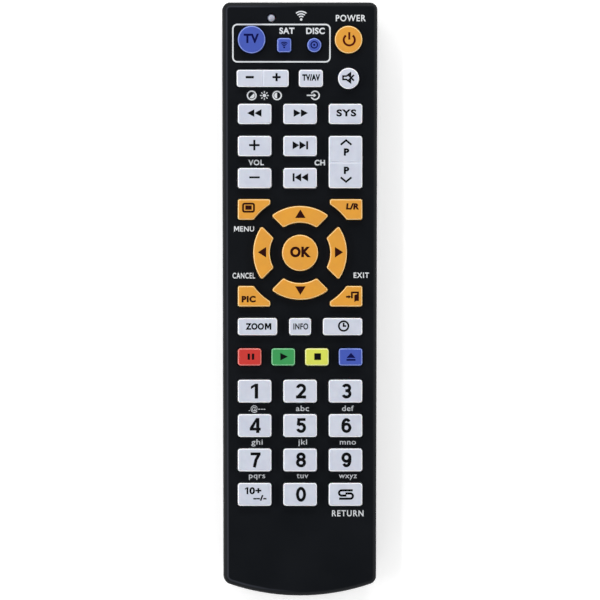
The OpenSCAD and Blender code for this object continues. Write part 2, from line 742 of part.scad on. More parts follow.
// Opening in the face for a key
module key_opening(k) {
  form = k[1];
  size = k[3];
  rock = 2 * (rock_clearance - key_clearance);
  grown = [size.x + (form == "rocker_across" ? rock : 0), size.y + (form == "rocker_along" ? rock : 0)];
  plan = form == "wedge" || form == "arc" ? size : grown;
  translate([k[2].x, k[2].y, face_under - past]) linear_extrude(wall + 2 * past)
    key_plan(form, plan, key_clearance);
}

// A post locates the mat and the board: a shoulder on the mat and a pin through both
module locating_post() {
  translate([0, 0, mat_top]) cylinder(r = post_shoulder, h = face_under - mat_top + wall / 2);
  translate([0, 0, board_z + travel_margin]) cylinder(r = post_pin, h = mat_top - board_z);
}

module screw_boss() {
  difference() {
    translate([0, 0, tower_top + travel_margin])
      cylinder(r = boss_radius, h = face_under + wall / 2 - tower_top);
    translate([0, 0, tower_top - past]) cylinder(d = screw_shank + travel_margin, h = screw_length + past);
  }
}

module window_hole() {
  translate([-window_width / 2, head_y - wall - past, window_middle - window_height / 2])
    cube([window_width, wall + 2 * past, window_height]);
}

module front_cover() {
  color(black) {
    difference() {
      case_loft(concat(
        [[seam_chamfer, -seam_chamfer, seam_height], [0, 0, seam_height + seam_chamfer]],
        reversed(edge_levels(face_edge, face_z, -1, -1, 0))
      ));
      case_slab(wall, seam_height - past, face_under);
      case_slab(wall - tongue_width - tongue_gap, seam_height - past, tongue_top + tongue_gap);
      for (k = keys) key_opening(k);
      translate([lamp_place.x, lamp_place.y, face_under - past])
        cylinder(d = lamp_diameter + 2 * lamp_gap, h = wall + 2 * past);
      window_hole();
    }
    for (p = posts) translate(p) locating_post();
    for (p = screws) translate(p) screw_boss();
  }
}

module rear_form(inset) {
  case_loft(concat(
    edge_levels(back_edge - inset, inset, 1, 0.5, inset),
    [[inset, -inset, seam_height - seam_chamfer]],
    inset > 0 ? [[inset, -inset, seam_height + past]] : [[seam_chamfer, -seam_chamfer, seam_height]]
  ));
}

// What stands inside the rear cover: door frame, bay walls, columns under the board, screw towers
module rear_inner() {
  frame_half = door_width / 2 + door_tongue + door_gap + bay_wall;
  frame_head = door_head + door_tongue + door_gap + bay_wall;
  translate([-frame_half, tail_y, 0]) cube([2 * frame_half, frame_head - tail_y, bay_floor]);
  translate([-bay_half - bay_wall, bay_tail - bay_wall, 0])
    cube([2 * (bay_half + bay_wall), bay_length + 2 * bay_wall, bay_top]);
  for (p = posts) translate(p) cylinder(r = prop_radius, h = board_z);
  for (p = screws) translate(p) cylinder(r = tower_radius, h = tower_top);
}

module door_space(half, head, from, to) {
  translate([-half, tail_y - past, from]) cube([2 * half, head - tail_y + past, to - from]);
}

module rear_cover() {
  lip_z = door_thickness - door_tongue_thickness - door_gap;
  slide = door_tongue + door_gap;
  tab_y = bay_head - contact_thickness - tab_gap;
  color(black) difference() {
    union() {
      difference() {
        rear_form(0);
        rear_form(wall);
      }
      difference() {
        case_slab(wall - tongue_width, seam_height - past, tongue_top);
        case_slab(wall, seam_height - 2 * past, tongue_top + past);
      }
      intersection() {
        case_loft(concat(
          edge_levels(back_edge - wall / 2, wall / 2, 1, 0.5, wall / 2),
          [[wall / 2, -wall / 2, face_z]]
        ));
        rear_inner();
      }
    }
    door_space(door_width / 2 + door_gap, door_head + door_gap, -past, door_pocket);
    door_space(door_width / 2 + slide, door_head + slide, lip_z, door_pocket);
    translate([-bay_half, bay_tail, door_pocket - past])
      cube([2 * bay_half, bay_length, bay_under - door_pocket + past]);
    for (p = screws) translate(p) {
      translate([0, 0, -past]) cylinder(d = screw_head + 2 * screw_gap, h = screw_seat + past);
      cylinder(d = screw_shank + 2 * screw_gap, h = tower_top + past);
    }
    for (side = [-1, 1])
      translate([side * cell_x - tab_width / 2 - tab_gap, tab_y, bay_under - past])
        cube([tab_width + 2 * tab_gap, contact_thickness + tab_gap, bay_ceiling + 2 * past]);
    window_hole();
  }
}

module battery_door() {
  tongue_z = door_thickness - door_tongue_thickness;
  color(black) difference() {
    intersection() {
      rear_form(0);
      union() {
        door_space(door_width / 2, door_head, 0, door_thickness);
        door_space(door_width / 2 + door_tongue, door_head + door_tongue, tongue_z, door_thickness);
      }
    }
    for (i = [0 : grip_count - 1])
      translate([-grip_length / 2, door_head - grip_start - i * grip_pitch - grip_width, -past])
        cube([grip_length, grip_width, grip_depth + past]);
    translate([0, door_head - grip_start - grip_count * grip_pitch, -past])
      linear_extrude(grip_depth + past)
        polygon([[-arrow_width / 2, 0], [arrow_width / 2, 0], [0, -arrow_length]]);
  }
}

module infrared_window() {
  inner = [window_width - 2 * window_gap, window_height - 2 * window_gap];
  lip = inner + 2 * [window_lip + window_gap, window_lip + window_gap];
  color("#241319") translate([0, head_y, window_middle]) {
    translate([-inner.x / 2, -wall - window_gap - past / 2, -inner.y / 2])
      cube([inner.x, wall + window_gap + past / 2, inner.y]);
    translate([-lip.x / 2, -wall - window_gap - window_lip_thickness, -lip.y / 2])
      cube([lip.x, window_lip_thickness, lip.y]);
  }
}

// A domed lamp along +Z, with its rim at z = 0
module domed_lamp(diameter, length) {
  cylinder(d = diameter, h = length - diameter / 2);
  translate([0, 0, length - diameter / 2]) sphere(d = diameter);
  cylinder(d = diameter + 2 * lamp_rim, h = lamp_rim_height);
}

module indicator_lamp() {
  color("#b9c4d0") translate([lamp_place.x, lamp_place.y, mat_z])
    domed_lamp(lamp_diameter, face_z + lamp_proud - mat_z);
}

// An infrared part lies along the board's notch, with its leads turned up to the board
module infrared_part(x) {
  foot = infrared_diameter / 2;
  half = lead_thickness / 2;
  translate([x, infrared_y, window_middle]) {
    rotate([-90, 0, 0]) domed_lamp(infrared_diameter, infrared_length);
    for (side = [-1, 1]) translate([side * infrared_diameter / 4 - half, -foot, -half]) {
      cube([lead_thickness, foot + past / 2, lead_thickness]);
      cube([lead_thickness, lead_thickness, board_z - window_middle + half]);
    }
  }
}

module infrared_emitter() {
  color("#6d7fb0") infrared_part(-infrared_pitch / 2);
}

module infrared_receiver() {
  color("#2b2b31") infrared_part(infrared_pitch / 2);
}

module board_plan() {
  translate([0, (board_head + board_tail) / 2])
    bar_plan([2 * board_half, board_head - board_tail], board_corner);
}

module keypad_mat() {
  color("#9aa0a8") translate([0, 0, mat_z]) linear_extrude(mat_thickness) difference() {
    board_plan();
    for (k = keys, p = pills(k[1], k[3])) translate(k[2] + p) circle(d = pill_diameter + 2 * pill_gap);
    for (p = posts) translate(p) circle(post_pin + pin_gap);
    translate(lamp_place) circle(d = lamp_diameter + 2 * lamp_rim + 2 * pill_gap);
  }
}

module circuit_board() {
  notch_y = infrared_y - infrared_gap;
  color("#2f6b46") translate([0, 0, board_z]) linear_extrude(board_thickness) difference() {
    board_plan();
    for (p = posts) translate(p) circle(post_pin + pin_gap);
    translate([-notch_half, notch_y]) square([2 * notch_half, board_head - notch_y + past]);
  }
}

// Parts soldered under the board
module control_chip() {
  step = chip_length / chip_legs;
  span = chip_width + 2 * chip_reach;
  color("#1c1c1e") translate([0, nav_y, board_z - chip_height]) {
    translate([-chip_width / 2, -chip_length / 2, 0])
      cube([chip_width, chip_length, chip_height - chip_standoff]);
    for (i = [0 : chip_legs - 1])
      translate([-span / 2, (i + 1 / 3) * step - chip_length / 2, chip_height / 2]) difference() {
        cube([span, step / 3, chip_height / 2]);
        translate([chip_reach, -past, chip_height / 2 - chip_standoff])
          cube([chip_width, step / 3 + 2 * past, chip_standoff + past]);
      }
  }
}

module resonator() {
  color("#b8bcc2") translate([column / 2, transport_y[2], board_z - resonator_height])
    linear_extrude(resonator_height) bar_plan([resonator_width, resonator_length], resonator_corner);
}

module capacitor() {
  color("#2a3f7a") translate([-column / 2, transport_y[2], board_z - capacitor_diameter / 2])
    rotate([90, 0, 0]) cylinder(d = capacitor_diameter, h = capacitor_length, center = true);
}

// A battery spring: one wire wound on a cone, from the plate at y = 0 to the cell
function spring_point(t) =
  let (radius = (spring_base + (spring_tip - spring_base) * t) / 2, angle = 360 * spring_turns * t)
    [radius * cos(angle), spring_wire / 2 + (spring_length - spring_wire) * t, radius * sin(angle)];
function unit(v) = v / norm(v);
function spring_ring(t) =
  let (
    p = spring_point(t),
    along = unit(spring_point(t + 0.001) - spring_point(t - 0.001)),
    out = unit(cross(along, [0, 1, 0])),
    up = cross(along, out)
  )
  [
    for (i = [0 : spring_sides - 1])
      let (angle = 360 * i / spring_sides) p + spring_wire / 2 * (cos(angle) * out + sin(angle) * up)
  ];
spring_steps = spring_turns * spring_rings;
spring_gap = min([
  for (i = [0 : spring_steps], j = [0 : spring_steps])
    if (j - i > spring_rings / 2)
      norm(spring_point(i / spring_steps) - spring_point(j / spring_steps)) - spring_wire
]);
echo(least_gap_between_spring_turns = spring_gap);

module spring() {
  rings = [for (i = [0 : spring_steps]) spring_ring(i / spring_steps)];
  n = spring_sides;
  last = spring_steps * n;
  sides = [
    for (j = [0 : spring_steps - 1], i = [0 : n - 1])
      let (a = j * n + i, b = j * n + (i + 1) % n)
        each [[a, b + n, a + n], [a, b, b + n]]
  ];
  caps = [[for (i = [n - 1 : -1 : 0]) i], [for (i = [0 : n - 1]) last + i]];
  polyhedron([for (ring = rings) each ring], concat(caps, sides));
}

// Cells lie head to tail, so each end of the bay has a spring on one side
module at_cells() {
  translate([-cell_x, bay_tail + contact_thickness, cell_z]) children();
  translate([cell_x, bay_head - contact_thickness, cell_z]) rotate([0, 0, 180]) children();
}

module battery_springs() {
  color("#c9ccd1") at_cells() spring();
}

// A cell along +Y: a can with a rolled rim round the shoulder that holds the button
module battery_cells() {
  radius = cell_diameter / 2;
  can = cell_length - cell_button_height;
  shoulder = can - cell_shoulder;
  profile = [
    [0, 0], [radius - cell_edge, 0], [radius, cell_edge], [radius, can - cell_edge], [radius - cell_edge, can],
    [radius - cell_rim, can], [radius - cell_rim, shoulder], [cell_button / 2, shoulder],
    [cell_button / 2, cell_length], [0, cell_length],
  ];
  color("#3d4a63") at_cells() translate([0, spring_length, 0]) rotate([-90, 0, 0])
    rotate_extrude() polygon(profile);
}

module battery_contacts() {
  plate_z = bay_floor;
  plate_height = bay_under - cell_gap - plate_z;
  color("#d3d6da") {
    translate([-cell_x - contact_width / 2, bay_tail, plate_z])
      cube([2 * cell_x + contact_width, contact_thickness, plate_height]);
    for (side = [-1, 1]) translate([side * cell_x, bay_head - contact_thickness, plate_z]) {
      translate([-contact_width / 2, 0, 0]) cube([contact_width, contact_thickness, plate_height]);
      translate([-tab_width / 2, 0, 0]) cube([tab_width, contact_thickness, board_z - plate_z]);
    }
  }
}

module case_screws() {
  color("#8d9096") for (p = screws) translate([p.x, p.y, screw_seat]) difference() {
    union() {
      translate([0, 0, -screw_head_height]) cylinder(d = screw_head, h = screw_head_height);
      cylinder(d = screw_shank, h = screw_length);
    }
    for (turn = [0, 90]) translate([0, 0, -screw_head_height]) rotate([0, 0, turn])
      cube([screw_slot, screw_slot_width, screw_head_height], center = true);
  }
}

front_cover();
rear_cover();
battery_door();
infrared_window();
indicator_lamp();
keypad_mat();
circuit_board();
infrared_emitter();
infrared_receiver();
control_chip();
resonator();
capacitor();
battery_springs();
battery_contacts();
battery_cells();
case_screws();
for (k = keys) key(k);
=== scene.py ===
"""Dresses the handheld remote control with its finishes, printed legends and studio.

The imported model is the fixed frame: the covers, keys and inner parts stay where it puts them. Lengths are
written in millimetres, and MM turns them to metres. On the face, +X runs to the right and +Y toward the
infrared window, and each print is placed from the middle of the key that it belongs to.
"""

import json
import logging
import math
from collections.abc import Sequence
from dataclasses import dataclass, field, replace
from enum import Enum
from typing import NamedTuple

import bmesh
import bpy
from bmesh.types import BMesh, BMVert
from bpy.types import ID, Material, NodeSocket, NodeTree, Object, World
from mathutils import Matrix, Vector
from mathutils.geometry import delaunay_2d_cdt

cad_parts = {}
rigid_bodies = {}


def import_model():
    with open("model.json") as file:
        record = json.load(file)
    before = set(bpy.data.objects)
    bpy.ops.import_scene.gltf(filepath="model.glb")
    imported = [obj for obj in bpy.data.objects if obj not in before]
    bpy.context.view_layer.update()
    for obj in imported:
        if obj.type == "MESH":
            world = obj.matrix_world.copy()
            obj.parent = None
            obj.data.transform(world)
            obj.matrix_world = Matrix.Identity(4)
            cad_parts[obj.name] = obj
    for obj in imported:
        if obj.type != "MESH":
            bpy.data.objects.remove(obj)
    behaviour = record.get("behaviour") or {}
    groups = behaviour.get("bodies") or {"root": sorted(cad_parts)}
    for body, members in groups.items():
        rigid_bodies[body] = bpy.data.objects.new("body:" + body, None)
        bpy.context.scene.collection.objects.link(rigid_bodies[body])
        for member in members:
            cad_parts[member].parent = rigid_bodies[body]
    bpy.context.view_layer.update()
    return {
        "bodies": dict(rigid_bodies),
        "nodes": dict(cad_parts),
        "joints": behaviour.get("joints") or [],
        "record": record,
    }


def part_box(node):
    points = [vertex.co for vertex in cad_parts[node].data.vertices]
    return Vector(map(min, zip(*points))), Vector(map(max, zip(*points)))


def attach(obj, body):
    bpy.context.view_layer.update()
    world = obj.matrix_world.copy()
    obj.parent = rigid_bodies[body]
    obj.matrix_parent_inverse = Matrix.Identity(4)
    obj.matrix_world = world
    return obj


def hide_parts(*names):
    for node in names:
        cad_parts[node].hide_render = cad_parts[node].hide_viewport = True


LOG = logging.getLogger("remote")
MM = 0.001

Point = tuple[float, float]
Edge = tuple[int, int]
Linear = tuple[float, float, float, float]
Feed = NodeSocket | str | float


def linear(colour: str) -> Linear:
    """Turns an sRGB hex colour into linear light.

    Args:
        colour: Hex value such as "#17191d".

    Returns:
        Red, green, blue and an alpha of 1.
    """
    shares = [int(colour[i : i + 2], 16) / 255 for i in (1, 3, 5)]
    light = [s / 12.92 if s <= 0.04045 else ((s + 0.055) / 1.055) ** 2.4 for s in shares]
    return (*light, 1.0)


def add_node(
    tree: NodeTree,
    kind: str,
    inputs: dict[str | int, object] | None = None,
    out: str | int = 0,
    **settings: object,
) -> NodeSocket | None:
    """Adds one shader node with its settings and links.

    Args:
        tree: Node tree of the material or the world.
        kind: Blender's name of the node's type, without the ShaderNode that it starts with.
        inputs: For each input, by name or place, its value, hex colour or the socket that feeds it.
        out: The output that is wanted, by name or place.
        settings: Attributes of the node itself.

    Returns:
        That output, or None where the node has no outputs.
    """
    node = tree.nodes.new(f"ShaderNode{kind}")
    for name, value in settings.items():
        setattr(node, name, value)
    for key, value in (inputs or {}).items():
        if isinstance(value, NodeSocket):
            tree.links.new(value, node.inputs[key])
        else:
            node.inputs[key].default_value = linear(value) if isinstance(value, str) else value
    return node.outputs[out] if node.outputs else None


def bare_tree(owner: Material | World) -> NodeTree:
    """Gives the node tree of a material or a world, with nothing in it.

    Args:
        owner: The material or the world.

    Returns:
        Its tree.
    """
    owner.use_nodes = True
    owner.node_tree.nodes.clear()
    return owner.node_tree


def add_object(name: str, data: ID | BMesh) -> Object:
    """Adds an object to the scene.

    Args:
        name: Name of the object.
        data: Its light or camera, or its finished mesh, in metres in the frame, which is freed.

    Returns:
        The object.
    """
    if isinstance(data, BMesh):
        mesh, data = data, bpy.data.meshes.new(name)
        mesh.to_mesh(data)
        mesh.free()
    thing = bpy.data.objects.new(name, data)
    bpy.context.scene.collection.objects.link(thing)
    return thing


# How a Mix node is set to blend two colours, inputs 6 and 7, by the share in input 0
BLEND = {"out": 2, "data_type": "RGBA"}


class Grain(Enum):
    """Kinds of relief that a surface's making leaves."""

    FINE = "fine"
    SPARK = "spark"
    BRUSHED = "brushed"


@dataclass(frozen=True)
class Canvas:
    """What a pattern is drawn with: the nodes, the place on the object, the slow noise and the roughness."""

    tree: NodeTree
    place: NodeSocket
    cloud: NodeSocket
    gloss: NodeSocket


@dataclass(frozen=True)
class Finish:
    """One material, with its sizes in millimetres.

    The grain is the relief that its making left, and the cloud is the slow drift of gloss and colour that
    handling and moulding give. A second colour, where there is one, comes and goes with the cloud. The
    painted highlight is a lighter colour painted on edges that turn away from the top, standing in for the
    light that they catch. It comes in and goes out over two spans of the normal's upward share, and a painted
    highlight with a side also comes in over a span of X. Rubbed edges come in over a span of how well the
    surface agrees with its rounded self.
    """

    name: str
    colour: str
    roughness: float
    drift: str = ""
    cloud: float = 6.0
    cloud_span: Point = (0.3, 0.7)
    gloss_spread: float = 0.05
    grain: Grain = Grain.FINE
    grain_size: float = 0.6
    grain_depth: float = 0.006
    grain_draw: float = 0.05
    metallic: float = 0.0
    ior: float = 1.5
    specular: float = 0.5
    coat: float = 0.0
    coat_roughness: float = 0.15
    transmission: float = 0.0
    subsurface: float = 0.0
    rubbed: str = ""
    rubbed_width: float = 0.5
    rubbed_span: Point = (0.995, 0.9)
    rubbed_roughness: float = 0.3
    # Painted highlight: a lighter colour painted on rounded edges in place of the light that they catch
    painted_highlight: str = ""
    painted_highlight_inner: Point = (0.93, 0.72)
    painted_highlight_outer: Point = (0.02, 0.3)
    painted_highlight_side: Point | None = None

    def make(self) -> Material:
        """Builds the material.

        Returns:
            The material, with its pattern nodes linked to the shader.
        """
        material = bpy.data.materials.new(self.name)
        material.diffuse_color = linear(self.colour)
        tree = bare_tree(material)
        place = add_node(tree, "TexCoord", out="Object")
        cloud = add_node(tree, "TexNoise", {"Vector": place, "Scale": 1 / (self.cloud * MM), "Detail": 3.0})
        spread = {
            "Value": cloud, "From Min": self.cloud_span[0], "From Max": self.cloud_span[1],
            "To Min": self.roughness - self.gloss_spread, "To Max": self.roughness + self.gloss_spread,
        }
        gloss = add_node(tree, "MapRange", spread)
        height = self.grain_height(tree, place)
        relief = {"Height": height, "Distance": self.grain_depth * MM, "Strength": 1.0}
        surface = {
            "Metallic": self.metallic, "IOR": self.ior, "Specular IOR Level": self.specular,
            "Coat Weight": self.coat, "Coat Roughness": self.coat_roughness,
            "Transmission Weight": self.transmission, "Subsurface Weight": self.subsurface,
            "Subsurface Scale": MM, "Roughness": gloss, "Normal": add_node(tree, "Bump", relief),
        }
        surface.update(self.paint(Canvas(tree, place, cloud, gloss)))
        add_node(tree, "OutputMaterial", {"Surface": add_node(tree, "BsdfPrincipled", surface)})
        return material

    def grain_height(self, tree: NodeTree, place: NodeSocket) -> NodeSocket:
        """Draws the relief of the surface.

        Args:
            tree: Node tree of the material.
            place: Object coordinates.

        Returns:
            The socket that gives the height.
        """
        scale = 1 / (self.grain_size * MM)
        if self.grain is Grain.SPARK:
            return add_node(tree, "TexVoronoi", {"Vector": place, "Scale": scale})
        if self.grain is Grain.BRUSHED:
            place = add_node(tree, "Mapping", {"Vector": place, "Scale": (1.0, self.grain_draw, 1.0)})
        return add_node(tree, "TexNoise", {"Vector": place, "Scale": scale, "Detail": 2.0})

    def paint(self, canvas: Canvas) -> dict[str, Feed]:
        """Colours the surface: the drift with the cloud, then the painted highlight and the rubbed edges.

        Args:
            canvas: What it is drawn with.

        Returns:
            Inputs of the shader, with what feeds them.
        """
        tree, gloss = canvas.tree, canvas.gloss
        colour: Feed = self.colour
        if self.drift:
            colour = add_node(tree, "Mix", {0: canvas.cloud, 6: colour, 7: self.drift}, **BLEND)
        normal = add_node(tree, "NewGeometry", out="Normal")
        # Painted highlight: a lighter colour over the rounded edges, standing in for the light that they
        # catch
        if self.painted_highlight:
            up = add_node(tree, "SeparateXYZ", {0: normal}, "Z")
            ramps = [(up, self.painted_highlight_inner), (up, self.painted_highlight_outer)]
            if self.painted_highlight_side:
                across = add_node(tree, "SeparateXYZ", {0: canvas.place}, "X")
                ramps.append((across, (self.painted_highlight_side[0] * MM, self.painted_highlight_side[1] * MM)))
            band: Feed = 1.0
            for value, (start, end) in ramps:
                ramp = add_node(tree, "MapRange", {"Value": value, "From Min": start, "From Max": end})
                band = add_node(tree, "Math", {0: band, 1: ramp}, operation="MULTIPLY")
            colour = add_node(tree, "Mix", {0: band, 6: colour, 7: self.painted_highlight}, **BLEND)
        if self.rubbed:
            rounded = add_node(tree, "Bevel", {"Radius": self.rubbed_width * MM}, samples=6)
            agree = add_node(tree, "VectorMath", {0: normal, 1: rounded}, "Value", operation="DOT_PRODUCT")
            start, end = self.rubbed_span
            edge = add_node(tree, "MapRange", {"Value": agree, "From Min": start, "From Max": end})
            colour = add_node(tree, "Mix", {0: edge, 6: colour, 7: self.rubbed}, **BLEND)
            gloss = add_node(tree, "Mix", {0: edge, 2: gloss, 3: self.rubbed_roughness})
        return {"Base Color": colour, "Roughness": gloss}


@dataclass(frozen=True)
class CellJacket(Finish):
    """Printed film round a battery cell, with a pale band at the plus end and bare metal at both ends."""

    band: str = "#c9ccd2"
    metal: str = "#d6d8da"
    middle: float = 0.0
    band_from: float = 13.0
    metal_from: float = 20.6

    def paint(self, canvas: Canvas) -> dict[str, Feed]:
        """Colours each cell along its own length; the cell on the right lies the other way round.

        Args:
            canvas: What it is drawn with.

        Returns:
            Inputs of the shader, with what feeds them.
        """
        tree = canvas.tree
        axes = add_node(tree, "SeparateXYZ", {0: canvas.place}).node.outputs
        side = add_node(tree, "Math", {0: axes["X"]}, operation="SIGN")
        along = add_node(tree, "Math", {0: axes["Y"], 1: self.middle * MM}, operation="SUBTRACT")
        plus = add_node(tree, "Math", {0: along, 1: side}, operation="MULTIPLY")
        in_band = add_node(tree, "Math", {0: plus, 1: -self.band_from * MM}, operation="LESS_THAN")
        far = add_node(tree, "Math", {0: along}, operation="ABSOLUTE")
        bare = add_node(tree, "Math", {0: far, 1: self.metal_from * MM}, operation="GREATER_THAN")
        film = add_node(tree, "Mix", {0: in_band, 6: self.colour, 7: self.band}, **BLEND)
        skin = add_node(tree, "Mix", {0: bare, 6: film, 7: self.metal}, **BLEND)
        return {"Base Color": skin, "Metallic": bare}


@dataclass(frozen=True)
class SolderMask(Finish):
    """Green lacquer over copper: the tracks under it show as slightly paler lines."""

    track: str = "#3f8458"
    track_pitch: float = 2.54
    track_width: float = 0.4
    track_wander: float = 0.6

    def paint(self, canvas: Canvas) -> dict[str, Feed]:
        """Draws the tracks as square-cornered lines between cells of the track pitch.

        Args:
            canvas: What it is drawn with.

        Returns:
            Inputs of the shader, with what feeds them.
        """
        tree, scale = canvas.tree, 1 / (self.track_pitch * MM)
        pattern = {"Vector": canvas.place, "Scale": scale, "Randomness": self.track_wander}
        gap = add_node(tree, "TexVoronoi", pattern, feature="DISTANCE_TO_EDGE")
        share = self.track_width / self.track_pitch / 2
        line = add_node(tree, "Math", {0: gap, 1: share}, operation="LESS_THAN")
        shown = add_node(tree, "Mix", {0: line, 6: self.colour, 7: self.track}, **BLEND)
        return {"Base Color": shown}


def silicone(name: str, colour: str, drift: str, painted_highlight: str) -> Finish:
    """Gives a moulded silicone key under its satin coat: a soft sheen and a painted highlight along its
    edges.
    """
    # The coat's real grain is about 0.05 mm and is drawn coarser, so that it shows
    return Finish(
        name, colour, roughness=0.4, drift=drift, cloud=3.5, grain_size=0.35, grain_depth=0.002, ior=1.43,
        coat=0.6, coat_roughness=0.22, subsurface=0.05, painted_highlight=painted_highlight,
    )


def ink(name: str, colour: str, drift: str) -> Finish:
    """Gives screen-printed ink, which lies a little uneven and drifts in colour where it is thin."""
    return Finish(
        name, colour, roughness=0.7, drift=drift, cloud=0.5, grain_size=0.3, grain_depth=0.002, specular=0.08
    )


FINISHES: dict[str, Finish] = {
    # Moulded ABS with a spark-eroded grain: black with a dull sheen, polished a little where hands rub its
    #     # edges. The real grain is about 0.15 mm and is drawn coarser, so that it shows. A thin lighter line
    #     is painted
    #     # as a highlight where the face's rounding begins, on the left half only, full from 20 mm left of
    #     the middle.
    "case_plastic": Finish(
        "moulded_abs_spark_textured", "#0a0d11", roughness=0.5, drift="#0d1015", cloud=14.0,
        grain=Grain.SPARK, grain_size=0.5, grain_depth=0.01, ior=1.54, specular=0.1, rubbed="#15171b",
        rubbed_width=0.35, painted_highlight="#2e3037", painted_highlight_inner=(0.9998, 0.998), painted_highlight_outer=(0.9, 0.97),
        painted_highlight_side=(0.0, -20.0),
    ),
    # Polished acrylic with a dye that only infrared passes: almost black, deep red against the light.
    "window_plastic": Finish(
        "polished_infrared_acrylic", "#17060b", roughness=0.08, drift="#240a10", cloud=8.0, gloss_spread=0.03,
        grain_size=2.5, grain_depth=0.003, ior=1.49, coat=0.6, coat_roughness=0.04,
    ),
    # Cast epoxy, clouded to spread the light: a milky grey dome with a soft shine.
    "lamp_epoxy": Finish(
        "cast_milky_epoxy", "#b0b2c0", roughness=0.38, drift="#989bab", cloud=1.2, grain_size=1.0,
        grain_depth=0.002, ior=1.55, subsurface=0.2,
    ),
    # Pressed silicone sheet: matt grey with a faint flow mottle.
    "mat_silicone": Finish(
        "pressed_silicone_sheet", "#9aa0a8", roughness=0.62, drift="#8c929b", cloud=5.0, ior=1.43
    ),
    # Glass laminate under green lacquer: glossy, with the tracks showing through.
    "board_laminate": SolderMask(
        "solder_masked_laminate", "#2b6341", roughness=0.3, grain_size=0.8, grain_depth=0.004
    ),
    # Cast epoxy with a blue tint: clear enough to see into.
    "emitter_epoxy": Finish(
        "cast_blue_epoxy", "#7f92c8", roughness=0.08, drift="#6d80b8", cloud=2.0, ior=1.55, transmission=0.6
    ),
    # Cast black epoxy: dark and glossy.
    "receiver_epoxy": Finish(
        "cast_black_epoxy", "#141419", roughness=0.12, drift="#1c1c22", cloud=2.0, ior=1.55
    ),
    # Transfer-moulded epoxy with a mineral filler: matt charcoal with a fine fleck.
    "chip_epoxy": Finish(
        "moulded_filled_epoxy", "#1b1c1e", roughness=0.58, drift="#26272a", cloud=0.8, grain_size=0.3
    ),
    # Drawn steel can with tin plating: bright, with lines along the draw.
    "can_steel": Finish(
        "drawn_tinned_steel", "#b9bdc3", roughness=0.3, drift="#a9adb4", grain=Grain.BRUSHED, grain_size=0.4,
        metallic=1.0,
    ),
    # Shrunk film: glossy blue, slightly uneven over the can under it.
    "capacitor_sleeve": Finish(
        "shrunk_blue_film", "#2a3f7a", roughness=0.28, drift="#243768", cloud=3.0, grain_size=1.2
    ),
    # Nickel-plated spring steel: warm bright metal with drawing lines.
    "nickel": Finish(
        "nickel_plated_steel", "#cfccc4", roughness=0.24, drift="#bdbab3", grain=Grain.BRUSHED,
        grain_size=0.3, grain_depth=0.003, metallic=1.0,
    ),
    # Printed film on a steel can: satin blue-grey with bare metal ends.
    "cell_jacket": CellJacket(
        "printed_cell_film", "#34486b", roughness=0.3, grain_size=1.5, grain_depth=0.003
    ),
    # Zinc-plated steel: cool grey with a blotchy bloom.
    "screw_steel": Finish(
        "zinc_plated_steel", "#9a9da3", roughness=0.34, drift="#868a92", cloud=1.5, grain_size=0.4,
        metallic=1.0,
    ),
    # The last colour of each key is its painted highlight, a lighter tint painted along its rounded edges
    "pale_keys": silicone("coated_silicone_pale", "#d4d8e3", "#bcc1d1", "#fcfdff"),
    "blue_keys": silicone("coated_silicone_blue", "#465cba", "#3d50a6", "#7f95e2"),
    "orange_keys": silicone("coated_silicone_orange", "#e4a13a", "#d49338", "#fbd38c"),
    "red_keys": silicone("coated_silicone_red", "#cc3a33", "#bd332e", "#ec8178"),
    "green_keys": silicone("coated_silicone_green", "#3d9c58", "#36904f", "#86d29a"),
    "yellow_keys": silicone("coated_silicone_yellow", "#dade5c", "#ccd254", "#f4f6b0"),
}


class Ink(Enum):
    """Inks that the legends are printed in."""

    DARK = ink("screen_printed_charcoal_ink", "#030406", "#07080b")
    NAVY = ink("screen_printed_navy_ink", "#030640", "#070b4a")
    MAROON = ink("screen_printed_maroon_ink", "#460702", "#520c05")
    BROWN = ink("screen_printed_brown_ink", "#240604", "#2e0a07")
    WHITE = ink("screen_printed_white_ink", "#dde0e3", "#cfd3d7")


class Palette:
    """Makes each material once and hands it out."""

    def __init__(self) -> None:
        """Starts with no material made."""
        self._made: dict[str, Material] = {}

    def dress(self, piece: Object, finish: Finish) -> None:
        """Gives a piece one finish all over.

        Args:
            piece: The piece.
            finish: Its finish, whose material is made at the first call.
        """
        if finish.name not in self._made:
            self._made[finish.name] = finish.make()
        piece.data.materials.clear()
        piece.data.materials.append(self._made[finish.name])


# Vertices of a CAD node that lie this close are one, in millimetres
WELD_GAP = 0.002
# Faces within the first angle count as one flat face, and edges over the second as sharp, in degrees
FLAT_ANGLE = 0.5
SHARP_ANGLE = 32.0


def soften(node: Object, width: float) -> None:
    """Shades a CAD node smoothly and rounds its sharp edges, as moulding does.

    The node's own mesh keeps its vertices: modifiers weld its faces, join the flat ones and round the edges.

    Args:
        node: The CAD node.
        width: Width of the rounding, in millimetres.
    """
    mesh = node.data
    for name in ("custom_normal", "sharp_edge", "sharp_face"):
        if name in mesh.attributes:
            mesh.attributes.remove(mesh.attributes[name])
    mesh.shade_smooth()
    weld = node.modifiers.new("weld", "WELD")
    weld.merge_threshold = WELD_GAP * MM
    flat = node.modifiers.new("flat", "DECIMATE")
    flat.decimate_type = "DISSOLVE"
    flat.angle_limit = math.radians(FLAT_ANGLE)
    edge = node.modifiers.new("edge", "BEVEL")
    edge.width = width * MM
    edge.segments = 2
    edge.limit_method = "ANGLE"
    edge.angle_limit = math.radians(SHARP_ANGLE)
    shade = node.modifiers.new("shade", "WEIGHTED_NORMAL")
    shade.mode = "FACE_AREA_WITH_ANGLE"


